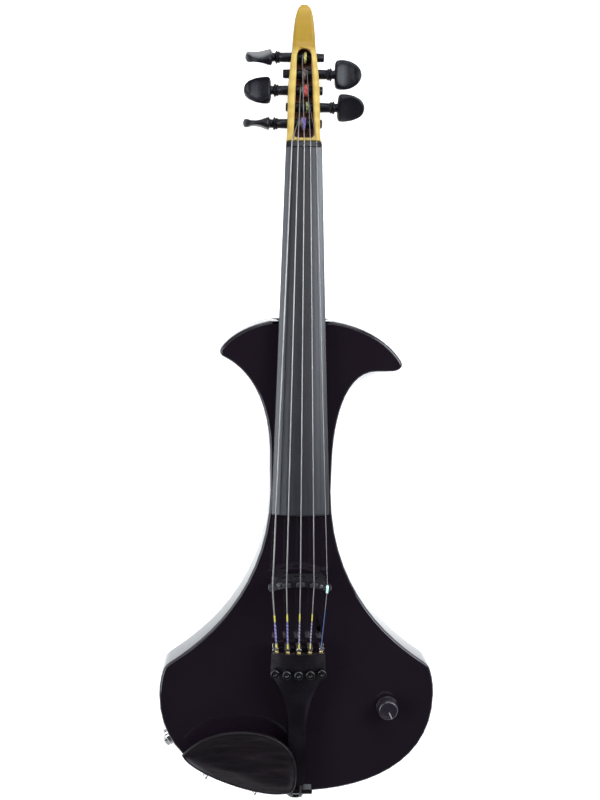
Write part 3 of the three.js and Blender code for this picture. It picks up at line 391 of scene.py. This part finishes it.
def amber_maple():
    """Flamed maple under amber varnish, stained in the head's slot and lacquered black at the heel."""
    f = Finish("amber_maple", Coat_Roughness=0.1, Specular_IOR_Level=0.12)
    parts = f.node("SeparateXYZ", Vector=f.place).outputs
    flame = f.bands("Y", 34, 5.5, 2, f.stretched(0.35, 1, 0.5), 1.6)
    grain = f.noise(60, 6, f.stretched(16, 0.9, 16), rough=0.6)
    pores = f.noise(260, 3, f.stretched(7, 0.35, 7))
    cloud = f.noise(26, 3)
    amber = f.ramp(flame, (0.1, (0.42, 0.285, 0.066)), (0.9, (0.49, 0.345, 0.090)))
    grained = f.mix(f.ramp(grain, (0.35, 0.0), (0.75, 0.4)), amber, (0.33, 0.21, 0.042))
    shaded = f.mix(f.ramp(cloud, (0.35, 0.0), (0.8, 0.25)), grained, (0.52, 0.39, 0.14))
    # Painted shade: the finial is coloured darker than the rails, most just past the slot's end, easing
    # towards the tip
    finial_shade = f.ramp(parts["Y"], (0.3985, 0.0), (0.4015, 1.0), (0.415, 0.85), (0.43, 0.7))
    shaded_finial = f.mix(finial_shade, shaded, f.mix(grain, (0.215, 0.122, 0.007), (0.285, 0.17, 0.013)))
    # The slot: between its side walls, between its ends, and below the head's top
    across = f.math("ABSOLUTE", parts["X"])
    taper = f.math("MULTIPLY", parts["Y"], SLOT_TAPER)
    between_walls = f.math("LESS_THAN", f.math("ADD", across, taper), SLOT_HALF_WIDTH * MM)
    slot_ends = (SLOT_START_Y - SLOT_MARGIN) * MM, (SLOT_END_Y + SLOT_MARGIN) * MM
    along = f.within(parts["Y"], *slot_ends)
    rise = f.math("ADD", f.math("MULTIPLY", parts["Y"], HEAD_SLOPE), parts["Z"])
    head_top = HEAD_START_Z + HEAD_START_Y * HEAD_SLOPE
    low = f.math("LESS_THAN", rise, (head_top - SLOT_TOP_MARGIN) * MM)
    inside = f.math("MULTIPLY", f.math("MULTIPLY", between_walls, low), along)
    stained = f.mix(inside, shaded_finial, f.ramp(grain, (0.3, (0.16, 0.07, 0.05)), (0.8, (0.30, 0.15, 0.11))))
    heel = f.math("LESS_THAN", parts["Y"], HEEL_END_Y * MM)
    return f.done(
        Base_Color=f.mix(heel, stained, (0.006, 0.004, 0.006)),
        Roughness=f.mix(heel, f.ramp(pores, (0.3, 0.32), (0.7, 0.44)), (0.1, 0.1, 0.1)),
        Coat_Weight=f.math("MULTIPLY", f.math("SUBTRACT", 1.0, heel), 0.08),
        Normal=f.bump(pores, 0.12, 0.0002, f.bump(grain, 0.08, 0.0004)),
    )


def ebony(name, polish, shade, gloss=0.5):
    """Dense black wood: fine pores along Y, brown-black streaks and a hand-rubbed surface."""
    f = Finish(name, Specular_IOR_Level=gloss)
    streak = f.noise(70, 5, f.stretched(7, 0.35, 7), rough=0.6)
    pore = f.noise(800, 3, f.stretched(5, 0.18, 5))
    dark = tuple(c * 0.55 for c in shade)
    return f.done(
        Base_Color=f.ramp(streak, (0.3, dark), (0.75, shade)),
        Roughness=f.ramp(pore, (0.3, polish - 0.05), (0.7, polish + 0.08)),
        Normal=f.bump(pore, 0.14, 0.00015, f.bump(streak, 0.05, 0.0003)),
    )


def moulding(name, shade, rough, gloss=0.5):
    """Satin black composite with a fine cast texture, and edges painted lighter: partly rubbed wear, partly
    a painted edge highlight.
    """
    f = Finish(name, Specular_IOR_Level=gloss)
    grit = f.noise(1400, 3)
    blotch = f.noise(60, 5)
    edge = f.node("NewGeometry").outputs["Pointiness"]
    plain = f.ramp(blotch, (0.3, tuple(c * 0.7 for c in shade)), (0.7, shade))
    # Lighter at sharp edges: partly rubbed wear, partly a painted edge highlight
    worn_and_highlit = f.mix(f.ramp(edge, (0.52, 0.0), (0.62, 0.5)), plain, tuple(c * 3 for c in shade))
    return f.done(
        Base_Color=worn_and_highlit,
        Roughness=f.ramp(blotch, (0.3, rough - 0.06), (0.7, rough + 0.08)),
        Normal=f.bump(grit, 0.2, 0.0001),
    )


def metal(name, colour, rough, brushed=(6, 6, 6), tarnish=0.75):
    """Plated or drawn metal with fine scratches and slightly duller patches."""
    f = Finish(name, Metallic=1.0)
    patch = f.noise(120, 5)
    scratch = f.noise(500, 4, f.stretched(*brushed), rough=0.7)
    dull = tuple(c * tarnish for c in colour)
    return f.done(
        Base_Color=f.ramp(patch, (0.3, dull), (0.65, colour)),
        Roughness=f.ramp(scratch, (0.3, rough * 0.6), (0.7, rough * 1.5)),
        Normal=f.bump(scratch, 0.08, 0.00005),
    )


def wound_string():
    """Flat metal ribbon wound round the string: fine rings across its length."""
    f = Finish("string_steel", Metallic=1.0)
    rings = f.bands("Y", 1100, 0.3)
    patch = f.noise(35, 4)
    bright = f.ramp(patch, (0.3, (0.225, 0.22, 0.212)), (0.7, (0.34, 0.333, 0.322)))
    # Painted shade: darker past the nut, inside the head
    along = f.node("SeparateXYZ", Vector=f.place).outputs["Y"]
    head_shade = f.ramp(along, (NUT_Y * MM + 0.004, 0.0), (NUT_Y * MM + 0.012, 0.75))
    return f.done(
        Base_Color=f.mix(head_shade, bright, (0.09, 0.085, 0.08)),
        Roughness=f.ramp(patch, (0.3, 0.30), (0.7, 0.42)),
        Normal=f.bump(rings, 0.25, 0.00006),
    )


def silk(name, colour, second, share):
    """Thread wrapped round a string's end: two colours laid diagonally, with a soft nap."""
    f = Finish(name, Sheen_Weight=0.3, Sheen_Roughness=0.5)
    twist = f.ramp(f.bands("DIAGONAL", 190, 0.8), (0.95 - share, 0.0), (1.05 - share, 1.0))
    lay = f.bands("DIAGONAL", 900, 1.0)
    spots = f.noise(420, 3)
    return f.done(
        Base_Color=f.mix(twist, colour, second),
        Roughness=f.ramp(spots, (0.3, 0.5), (0.7, 0.72)),
        Normal=f.bump(lay, 0.7, 0.00008),
    )


def dark_hardwood():
    """Satin-stained wood of the chin rest: straight grain along X with open pores."""
    f = Finish("dark_hardwood", Specular_IOR_Level=0.14)
    streak = f.noise(42, 7, f.stretched(0.5, 6, 6), rough=0.62, distortion=0.4)
    pore = f.noise(420, 3, f.stretched(0.22, 5, 5))
    lines = f.ramp(pore, (0.36, 1.0), (0.44, 0.0))
    base = f.ramp(streak, (0.35, (0.0045, 0.0034, 0.0048)), (0.6, (0.0085, 0.0060, 0.0078)),
                  (0.8, (0.022, 0.016, 0.017)))
    return f.done(
        Base_Color=f.mix(lines, base, (0.004, 0.003, 0.004)),
        Roughness=f.ramp(streak, (0.3, 0.26), (0.7, 0.42)),
        Normal=f.bump(pore, 0.22, 0.0002, f.bump(streak, 0.1, 0.0004)),
    )


def cork():
    """Pressed cork: pale grains with dark flecks."""
    f = Finish("cork", Specular_IOR_Level=0.2)
    cells = f.node("TexVoronoi", Vector=f.place, Scale=900)
    flecks = f.noise(330, 5, rough=0.7)
    warm = f.ramp(cells.outputs["Distance"], (0.1, (0.30, 0.17, 0.08)), (0.6, (0.58, 0.40, 0.22)))
    return f.done(
        Base_Color=f.mix(f.ramp(flecks, (0.56, 0.0), (0.64, 0.8)), warm, (0.10, 0.05, 0.025)),
        Roughness=f.ramp(flecks, (0.3, 0.75), (0.7, 0.95)),
        Normal=f.bump(cells.outputs["Distance"], 0.6, 0.0003),
    )


def soft_tube():
    """The milky mint-coloured sleeve of the highest string."""
    f = Finish("mint_sleeve", Subsurface_Weight=0.3, Subsurface_Scale=0.001, Coat_Weight=0.3)
    milk = f.noise(500, 3)
    return f.done(
        Base_Color=f.ramp(milk, (0.3, (0.42, 0.80, 0.66)), (0.7, (0.70, 0.95, 0.86))),
        Roughness=f.ramp(milk, (0.3, 0.25), (0.7, 0.4)),
        Normal=f.bump(milk, 0.1, 0.0001),
    )


def white_inlay():
    """Worn white paint of the knob's pointer."""
    f = Finish("white_inlay", Specular_IOR_Level=0.4)
    wear = f.noise(700, 4)
    return f.done(
        Base_Color=f.ramp(wear, (0.3, (0.16, 0.15, 0.17)), (0.7, (0.30, 0.28, 0.31))),
        Roughness=f.ramp(wear, (0.3, 0.35), (0.7, 0.55)),
    )


def circuit_board():
    """Green resist over copper traces."""
    f = Finish("circuit_board", Coat_Weight=0.4, Coat_Roughness=0.2)
    tracks = f.node("TexBrick", Vector=f.place, Scale=260, Mortar_Size=0.09)
    wear = f.noise(300, 3)
    green = f.ramp(tracks.outputs["Fac"], (0.4, (0.02, 0.14, 0.05)), (0.6, (0.05, 0.28, 0.10)))
    return f.done(
        Base_Color=green,
        Roughness=f.ramp(wear, (0.3, 0.3), (0.7, 0.5)),
        Normal=f.bump(tracks.outputs["Fac"], 0.3, 0.0001),
    )


# ---------------------------------------------------------------------------------------------
# Pegs
# ---------------------------------------------------------------------------------------------

def peg_centre(i):
    """Where a peg's axis crosses the centre line."""
    y = FIRST_PEG_Y + PEG_SPACING * PEG_ORDER[i]
    return Vector((0, y, HEAD_START_Z - (y - HEAD_START_Y) * HEAD_SLOPE - PEG_DROP))


def peg_stem():
    """A peg's tapered shaft, from its tip to the moulded collar under the thumb piece."""
    taper = (PEG_WALL_RADIUS - PEG_TIP_RADIUS) / (PEG_WALL + PEG_TIP)
    c = PEG_COLLAR
    return turned([
        (2.3, -PEG_TIP), (2.9, -PEG_TIP + 0.12), (PEG_TIP_RADIUS, -PEG_TIP + 0.7),
        (PEG_TIP_RADIUS + taper * PEG_TIP, 0), (PEG_WALL_RADIUS, PEG_WALL), (PEG_WALL_RADIUS - 0.05, 15),
        (3.5, c - 0.7), (3.62, c - 0.55), (4.15, c - 0.2), (4.4, c + 0.2),
        (4.38, c + 0.7), (4.1, c + 1.0), (3.8, c + 1.15), (3.85, c + 1.3), (4.5, c + 1.45),
        (4.86, c + 1.8), (4.9, c + 2.2), (4.72, c + 2.6), (4.2, c + 2.85), (3.4, c + 3.2), (3.15, c + 3.6),
        (3.2, c + 4.2), (3.35, c + 4.9), (3.5, PEG_THUMB + 0.7), (3.1, PEG_THUMB + 2), (2.4, PEG_THUMB + 3),
    ], 40)


def peg_thumb():
    """The thumb piece: a rounded D in the XZ plane with two hollowed faces, as sections along the peg."""
    width, depth = smooth_through(THUMB_WIDTHS), smooth_through(THUMB_DEPTHS)
    sides, stations = 48, 40
    rings = []
    for k in range(stations + 1):
        z = PEG_THUMB + (PEG_LENGTH - PEG_THUMB) * (0.5 - 0.5 * math.cos(math.pi * k / stations))
        ring = []
        for i in range(sides):
            angle = 2 * math.pi * (i + 0.5) / sides
            round_x, round_y = math.cos(angle), math.sin(angle)
            x = math.copysign(abs(round_x) ** THUMB_ROUNDNESS, round_x) * width(z)
            y = math.copysign(abs(round_y) ** THUMB_ROUNDNESS, round_y) * depth(z)
            ring.append((x, y, z))
        rings.append(ring)
    return loft(rings)


def make_pegs(material):
    """The pegs, each laid across the head from its own side."""
    for i, name in enumerate(STRING_NAMES):
        side = PEG_SIDES[i]
        laid = (
            Matrix.Translation(peg_centre(i))
            @ Matrix.Rotation(math.radians(90 * side), 4, "Y")
            @ Matrix.Translation((0, 0, PEG_SEATS[i]))
            @ Matrix.Rotation(math.radians(90 + PEG_TURNS[i]), 4, "Z")
        )
        shell = moved(joined([peg_stem(), peg_thumb()]), laid)
        piece(f"peg_{name}_turned", shell, f"peg_{name}_turning", material, [f"peg_{name}"])


# ---------------------------------------------------------------------------------------------
# Strings
# ---------------------------------------------------------------------------------------------

def from_centre(i, spacing):
    """How far the i-th of five evenly spaced things stands from the centre line."""
    return (i - 2) * spacing


def bridge_y(x):
    """Where the bow-shaped bridge lies under a string."""
    return BRIDGE_BOW_TOP_Y - drop(BRIDGE_BOW_RADIUS, x)


def string_ends(i):
    """Where a string leaves its ball, crosses the bridge, and comes to and leaves the nut."""
    nut_x, bridge_x, tail_x = (from_centre(i, s) for s in (NUT_SPACING, BRIDGE_SPACING, TAIL_SPACING))
    nut_z = NUT_CROWN + STRING_OVER_NUT + STRING_RADII[i] - drop(BOARD_RADIUS, nut_x)
    return (
        Vector((tail_x, BALL_Y + BALL_REACH, TAIL_STRING_TOP - drop(TAIL_RADIUS, tail_x))),
        Vector((bridge_x, bridge_y(bridge_x), BRIDGE_STRING_TOP - drop(BRIDGE_RADIUS, bridge_x))),
        Vector((nut_x, NUT_Y + NUT_INSET, nut_z)),
        Vector((nut_x, NUT_Y + NUT_LENGTH - NUT_INSET, nut_z - STRING_FALL_AT_NUT)),
    )


def winding(i):
    """The string's turns round its peg, from where it arrives."""
    radius = STRING_RADII[i]
    leaving, centre = string_ends(i)[3], peg_centre(i)
    reach = PEG_WALL_RADIUS + radius + WINDING_LIFT
    # The angle at which the straight run meets the peg settles in a few rounds
    start = 0.0
    for _ in range(4):
        fall = leaving.z - centre.z - reach * math.cos(start)
        start = math.atan2(fall, centre.y + reach * math.sin(start) - leaving.y)
    turns = WINDING_TURNS[i]
    steps = round(turns * WINDING_STEPS)
    points = []
    for k in range(steps + 1):
        share = k / steps
        angle = start + 2 * math.pi * turns * share
        x = WINDING_STARTS[i] - PEG_SIDES[i] * turns * (2 * radius + WINDING_GAP) * share
        y, z = centre.y + reach * math.sin(angle), centre.z + reach * math.cos(angle)
        points.append(Vector((x, y, z)))
    return points


def between(first, second, spans):
    """Evenly spaced points from one point to another, without the last."""
    return [first.lerp(second, k / spans) for k in range(spans)]


def make_tail_threads(i, colours):
    """The thread wraps of a string between the bridge and its ball."""
    name = STRING_NAMES[i]
    wrap = STRING_RADII[i] + TAIL_THREAD_DEPTH
    tail, bridge = string_ends(i)[:2]
    bands = E_TAIL_THREADS if name == "e" else TAIL_THREADS
    for k, (colour, start, end) in enumerate(bands):
        silk_name = f"tail_{name}" if colour == "tail" else colour
        first, last = bridge.lerp(tail, start), bridge.lerp(tail, end)
        stretch = [*between(first, last, 6), last]
        shell = tube(stretch, [wrap * 0.8, *[wrap] * 5, wrap * 0.8], 12)
        piece(f"thread_{name}_{k + 1}", shell, "violin", colours[silk_name])


def make_peg_thread(i, colours):
    """The thread wrap over the last turns of a string round its peg."""
    name = STRING_NAMES[i]
    turns = winding(i)
    around = turns[round(len(turns) * PEG_THREAD_START):]
    shell = tube(around, [STRING_RADII[i] + PEG_THREAD_DEPTH] * len(around), 10)
    piece(f"thread_{name}_peg", shell, "violin", colours[f"peg_{name}"])


def make_strings(steel, colours):
    """Each string with its thread wraps at the ball and round the peg."""
    for i, name in enumerate(STRING_NAMES):
        tail, bridge, nut, leaving = string_ends(i)
        turns = winding(i)
        path = [tail, *between(bridge, nut, 2), nut, *between(leaving, turns[0], 3), *turns]
        shell = tube(path, [STRING_RADII[i]] * len(path), 12)
        piece(f"string_{name}_wound", shell, "violin", steel, [f"string_{name}"])
        make_tail_threads(i, colours)
        make_peg_thread(i, colours)


def make_ball_ends(material):
    """A brass barrel with a groove for the string's loop."""
    half = [(0.9, 1.5), (1.3, 1.48), (1.6, 1.3), (1.7, 1.0), (1.68, 0.7), (1.45, 0.45)]
    profile = [*[(radius, -height) for radius, height in half], (1.35, 0), *reversed(half)]
    for i, name in enumerate(STRING_NAMES):
        tail = string_ends(i)[0]
        laid = Matrix.Translation((tail.x, BALL_Y, tail.z)) @ Matrix.Rotation(math.radians(90), 4, "Y")
        shell = moved(turned(profile, 28), laid)
        piece(f"ball_{name}_turned", shell, f"tuner_{name}_lever", material, [f"ball_end_{name}"])


# ---------------------------------------------------------------------------------------------
# Tuner screws, knob and chin rest
# ---------------------------------------------------------------------------------------------

def knurled(levels, teeth, depth, points_per_tooth=6):
    """A turned shell with flutes: full ones where a level's third value is 1, none where it is 0."""
    count = teeth * points_per_tooth
    rings = []
    for radius, height, flute in levels:
        ring = []
        for k in range(count):
            angle = 2 * math.pi * k / count
            r = radius - flute * depth * (0.5 + 0.5 * math.cos(teeth * angle))
            ring.append((r * math.cos(angle), r * math.sin(angle), height))
        rings.append(ring)
    return loft(rings)


def make_tuner_screws(material):
    """The fine tuners' screws: a knurled head on a threaded shank."""
    for i, name in enumerate(STRING_NAMES):
        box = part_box(f"tuner_screw_{name}")
        low, seat = box[0].z / MM, box[1].z / MM - TUNER_HEAD
        head = knurled([
            (2.6, seat + 1.15, 0), (3.1, seat + 1.2, 0), (3.4, seat + 1.5, 0.6), (3.5, seat + 1.8, 1),
            (3.5, seat + 4.9, 1), (3.4, seat + 5.3, 0.7), (3.1, seat + 5.62, 0.2), (2.6, seat + 5.76, 0),
            (1.4, seat + TUNER_HEAD, 0), (1.2, seat + 5.55, 0), (0.4, seat + 5.5, 0),
        ], 20, 0.34)
        ridges = [(1.2 - THREAD_DEPTH * (k % 2), low + k * (seat - low) / 24) for k in range(25)]
        collar = [(1.2, seat + 0.1), (2.2, seat + 0.2), (2.2, seat + 1.6), (2.0, seat + 2)]
        shank = turned([*ridges, *collar], 24)
        laid = Matrix.Translation((from_centre(i, TUNER_SPACING), TUNER_Y, 0))
        piece(f"tuner_{name}_knurled", moved(joined([head, shank]), laid), f"tuner_{name}_screw",
              material, [f"tuner_screw_{name}"], sharp=50)


def make_knob(black, white):
    """A skirted knob: fluted side, dished top, and a white line that points the setting."""
    shell = knurled([
        (3.2, 41.0, 0), (6.4, 41.0, 0), (6.5, 40.85, 0), (8.3, 40.8, 0), (8.6, 41.0, 0), (8.6, 42.1, 0),
        (8.45, 42.45, 0), (8.1, 43.0, 0), (7.95, 43.4, 0.3), (7.9, 44.2, 1), (7.85, 48.9, 1),
        (7.8, 49.4, 0.4), (7.7, 50.0, 0), (7.4, 50.6, 0), (6.95, 51.1, 0), (6.4, 51.38, 0), (5.9, 51.36, 0),
        (5.2, 51.15, 0), (3.0, 51.02, 0), (1.0, 51.0, 0),
    ], 36, 0.24)
    place = Matrix.Translation((*KNOB, 0))
    piece("knob_fluted", moved(shell, place), "volume_control", black, ["volume_knob"],
          sharp=50)
    line = [
        [(-w, 1.4, z), (w, 1.4, z), (w, 6.9, z), (-w, 6.9, z)]
        for w, z in ((0.45, 50.6), (0.45, 51.3), (0.38, 51.38))
    ]
    pointer = moved(loft(line), place @ Matrix.Rotation(math.radians(POINTER_TURN), 4, "Z"))
    piece("knob_pointer", pointer, "volume_control", white)


def rest_plate():
    """The chin rest's plate: its outline with a rolled rim and a dished top."""
    outline = [p for handles, steps in zip(CHIN_REST, (30, 34, 8, 14, 44)) for p in bezier(handles, steps)]
    middle = Vector(REST_MIDDLE)
    # (distance in from the outline, then share of the way on to the middle, height over the underside)
    profile = [
        (6, 0.5, 0), (6, 0.15, 0), (6, 0, 0.4), (3.4, 0, 1.3), (1.7, 0, 2.6), (0.7, 0, 4.2),
        (0.15, 0, 5.8), (0, 0, 7.2), (0.25, 0, 8.2), (0.8, 0, 8.85), (1.5, 0, 9.0), (2.4, 0, 8.75),
        (3.6, 0, 8.2), (6, 0, 7.3), (6, 0.1, 6.75), (6, 0.22, 6.2), (6, 0.4, 5.6), (6, 0.65, 5.3),
        (6, 0.9, 5.2),
    ]
    rings = []
    for inset, share, height in profile:
        ring = []
        for point in outline:
            edge = Vector(point)
            point = edge.lerp(middle, inset / (middle - edge).length).lerp(middle, share)
            ring.append((point.x, point.y, REST_UNDERSIDE + height))
        rings.append(ring)
    return loft(rings)


def rest_pedestal():
    """The block that joins the plate to its cork, with rounded corners and a flared top."""
    first, last = (Vector(post) for post in CLAMP_POSTS)
    along = (last - first).normalized()
    inward = Vector((-along.y, along.x))
    rings = []
    for grow, height in ((-0.4, 0), (0, 0.4), (0, 4.5), (0.1, 6.8), (0.4, 8.2), (0.6, 9.2)):
        near, far = PEDESTAL_NEAR - grow, PEDESTAL_FAR + grow
        past = along * (PEDESTAL_PAST_POSTS + grow)
        start, end = first - past, last + past
        corners = [start + inward * near, end + inward * near, end + inward * far, start + inward * far]
        ring = []
        for k, corner in enumerate(corners):
            before, after = corners[k - 1], corners[(k + 1) % 4]
            arrive = corner + (before - corner).normalized() * PEDESTAL_CORNER
            leave = corner + (after - corner).normalized() * PEDESTAL_CORNER
            for t in (0, 0.25, 0.5, 0.75, 1):
                point = arrive.lerp(corner, t).lerp(corner.lerp(leave, t), t)
                ring.append((point.x, point.y, REST_FOOT + height))
        rings.append(ring)
    return loft(rings)


def rest_arm():
    """A threaded stud that bends inward over the edge and ends in the pedestal."""
    stations = []
    for k in range(50):
        stations.append((Vector((0, 0, STUD_START + STUD_PITCH * k)), STUD_RADIUS - THREAD_DEPTH * (k % 2)))
    for k in range(9):
        angle = math.pi / 16 * k
        y, z = BEND_REACH - BEND_REACH * math.cos(angle), BEND_START + BEND_RISE * math.sin(angle)
        stations.append((Vector((0, y, z)), ARM_RADIUS))
    stations.append((Vector((0, ARM_LENGTH, BEND_START + BEND_RISE)), ARM_RADIUS))
    return tube([place for place, _ in stations], [radius for _, radius in stations], 20)


def make_chin_rest(wood, nickel):
    """The carved rest, and the two bent studs that hold it to the body's edge."""
    piece("chin_rest_carved", joined([rest_plate(), rest_pedestal()]), "violin", wood,
          ["chin_rest_plate"], sharp=50)
    first, last = (Vector(post) for post in CLAMP_POSTS)
    turn = Matrix.Rotation(math.atan2(last.y - first.y, last.x - first.x), 4, "Z")
    arms = [moved(rest_arm(), Matrix.Translation((x, y, 0)) @ turn) for x, y in CLAMP_POSTS]
    piece("chin_rest_arms", joined(arms), "violin", nickel)


# ---------------------------------------------------------------------------------------------
# Stage
# ---------------------------------------------------------------------------------------------

def make_camera():
    """A camera that shows the instrument as the photograph does."""
    data = bpy.data.cameras.new("camera")
    data.lens = FOCAL_PIXELS / IMAGE_HEIGHT * data.sensor_width
    camera = bpy.data.objects.new("camera", data)
    bpy.context.scene.collection.objects.link(camera)
    turn = Matrix.Identity(4)
    for angle, axis in zip(CAMERA_TURNS, "XYZ"):
        turn = turn @ Matrix.Rotation(angle, 4, axis)
    camera.matrix_world = Matrix.Translation(CAMERA_PLACE) @ turn
    bpy.context.scene.camera = camera


def make_floor():
    """A white paper floor, a little self-lit so that it stays white."""
    mesh = bpy.data.meshes.new("floor")
    signs = ((-1, -1), (1, -1), (1, 1), (-1, 1))
    corners = [(x * FLOOR_HALF_WIDTH, y * FLOOR_HALF_WIDTH, -FLOOR_DROP) for x, y in signs]
    mesh.from_pydata(corners, [], [(0, 1, 2, 3)])
    f = Finish("floor_paper", Roughness=0.9, Specular_IOR_Level=0.1)
    fibre = f.noise(60, 3)
    f.done(
        Base_Color=f.ramp(fibre, (0.3, (0.86, 0.86, 0.86)), (0.7, (0.9, 0.9, 0.9))),
        Emission_Color=(1.0, 1.0, 1.0),
        Emission_Strength=0.55,
    )
    mesh.materials.append(f.material)
    floor = bpy.data.objects.new("floor", mesh)
    bpy.context.scene.collection.objects.link(floor)


def make_world():
    """A pale room: bright near the horizon, dark overhead, with a bright strip high up towards the head."""
    world = bpy.data.worlds.new("room")
    bpy.context.scene.world = world
    world.use_nodes = True
    room = Nodes(world.node_tree)
    direction = room.node("TexCoord").outputs["Generated"]
    parts = room.node("SeparateXYZ", Vector=direction).outputs
    walls = room.ramp(parts["Z"], (0.0, 0.9), (0.2, 0.7), (0.5, 0.3), (0.85, 0.06))
    strip = room.ramp(parts["Z"], (0.915, 0.0), (0.93, 1.0), (0.945, 1.0), (0.96, 0.0))
    towards_head = room.ramp(parts["Y"], (0.0, 0.0), (0.1, 1.0))
    glow = room.math("MULTIPLY", room.math("MULTIPLY", strip, towards_head), STRIP_BRIGHTNESS)
    background = world.node_tree.nodes["Background"]
    room.set(background, {"Color": (1, 1, 1), "Strength": room.math("ADD", glow, walls)})


def softbox(name, place, target, width, height, power):
    """A rectangular lamp that faces a target."""
    data = bpy.data.lights.new(name, "AREA")
    data.shape = "RECTANGLE"
    data.size = width
    data.size_y = height
    data.energy = power
    data.color = DAYLIGHT
    light = bpy.data.objects.new(name, data)
    bpy.context.scene.collection.objects.link(light)
    light.location = place
    light.rotation_mode = "QUATERNION"
    light.rotation_quaternion = (Vector(target) - Vector(place)).to_track_quat("-Z", "Y")


def make_lights():
    """A window at each side and a weaker one beyond the head."""
    softbox("right_window", (1.05, 0.62, 1.05), (0, 0.2, 0), 0.9, 0.7, 26)
    softbox("left_window", (-1.15, 0.1, 0.95), (0, 0.1, 0), 1.3, 0.6, 20)
    softbox("head_side", (0.1, 1.5, 0.8), (0, 0.2, 0), 1.2, 0.5, 14)


# ---------------------------------------------------------------------------------------------
# Assembly
# ---------------------------------------------------------------------------------------------

def finish_cad_nodes(nickel):
    """Materials for the CAD nodes that keep their shape."""
    wood = ebony("ebony_polished", 0.24, (0.006, 0.005, 0.006), 0.25)
    steel = metal("steel", (0.56, 0.56, 0.57), 0.3)
    composite = moulding("black_composite", (0.0045, 0.0032, 0.0052), 0.24, 0.36)
    socket = moulding("socket_black", (0.016, 0.016, 0.017), 0.5)
    dress("body", black_lacquer(), bevel=0)
    dress("neck_and_head", amber_maple(), bevel=0)
    dress("fingerboard", ebony("ebony_board", 0.34, (0.010, 0.011, 0.0155)), bevel=0.4)
    for name in ("nut", "tail_saddle", "end_button"):
        dress(name, wood, bevel=0.15)
    dress("bridge", moulding("bridge_composite", (0.007, 0.0062, 0.008), 0.32, 0.3), bevel=0.4)
    dress("tailpiece", composite, bevel=0.5)
    pickup = moulding("pickup_black", (0.016, 0.016, 0.019), 0.4, 0.4)
    for name in STRING_NAMES:
        dress(f"pickup_saddle_{name}", pickup, bevel=0.15)
        dress(f"tuner_lever_{name}", nickel, bevel=0.15)
    for name in ("tuner_rod", "clamp_barrel_1", "clamp_barrel_2", "chin_rest_clamp_foot", "jack_ring"):
        dress(name, nickel, bevel=0.15)
    dull = metal("dull_nickel", (0.16, 0.16, 0.17), 0.35)
    for name in ("bridge_screw_1", "bridge_screw_2"):
        dress(name, dull, bevel=0)
    dress("string_sleeve_e", soft_tube(), bevel=0)
    dress("tail_cord", moulding("tail_cord", (0.014, 0.013, 0.016), 0.3), bevel=0)
    dress("chin_rest_cork", cork(), bevel=0.3)
    dress("volume_shaft", steel, bevel=0.2)
    dress("volume_potentiometer", steel, bevel=0)
    dress("jack_socket", socket, bevel=0.15)
    dress("rear_cover", socket, bevel=0.2)
    for k in range(1, 5):
        dress(f"cover_screw_{k}", steel, bevel=0)
    dress("battery", moulding("battery_case", (0.10, 0.10, 0.12), 0.4), bevel=0.3)
    dress("preamp_board", circuit_board(), bevel=0)


def thread_colours():
    """The silks of the strings' ends, by where each one is used."""
    gold = silk("thread_gold", (0.58, 0.52, 0.05), (0.40, 0.33, 0.04), 0.3)
    violet = silk("thread_violet", (0.05, 0.035, 0.24), (0.27, 0.25, 0.42), 0.42)
    pale = silk("thread_pale", (0.07, 0.05, 0.16), (0.34, 0.31, 0.35), 0.5)
    blue = silk("thread_blue", (0.015, 0.045, 0.16), (0.03, 0.11, 0.24), 0.3)
    purple = silk("thread_purple", (0.09, 0.035, 0.30), (0.22, 0.13, 0.42), 0.4)
    red = silk("thread_red", (0.42, 0.02, 0.03), (0.60, 0.12, 0.10), 0.5)
    olive = silk("thread_olive", (0.10, 0.12, 0.03), (0.30, 0.32, 0.10), 0.5)
    lime = silk("thread_lime", (0.46, 0.40, 0.06), (0.62, 0.60, 0.20), 0.5)
    brown = silk("thread_brown", (0.10, 0.05, 0.04), (0.25, 0.16, 0.12), 0.5)
    return {
        "gold": gold, "tail_c": violet, "tail_g": violet, "tail_d": pale, "tail_a": pale, "tail_e": blue,
        "peg_c": purple, "peg_g": red, "peg_d": lime, "peg_a": brown, "peg_e": olive,
    }


def build():
    """Every visible piece and material of the instrument."""
    nickel = metal("nickel", (0.72, 0.72, 0.74), 0.16)
    finish_cad_nodes(nickel)
    make_pegs(ebony("ebony_pegs", 0.27, (0.0065, 0.0058, 0.009), 0.16))
    make_strings(wound_string(), thread_colours())
    make_ball_ends(metal("brass", (0.30, 0.235, 0.10), 0.36))
    make_tuner_screws(metal("black_chrome", (0.055, 0.055, 0.062), 0.22))
    make_knob(moulding("knob_black", (0.013, 0.009, 0.015), 0.26, 0.55), white_inlay())
    make_chin_rest(dark_hardwood(), nickel)


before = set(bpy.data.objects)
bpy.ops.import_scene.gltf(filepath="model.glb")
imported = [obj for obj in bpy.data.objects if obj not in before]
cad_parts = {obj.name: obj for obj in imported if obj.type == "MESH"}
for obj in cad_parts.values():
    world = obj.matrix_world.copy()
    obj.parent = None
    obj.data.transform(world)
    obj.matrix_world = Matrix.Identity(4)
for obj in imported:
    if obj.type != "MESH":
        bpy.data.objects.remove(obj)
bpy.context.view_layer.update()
make_camera()
make_floor()
make_world()
make_lights()
bpy.context.scene.view_settings.view_transform = "Standard"
build()
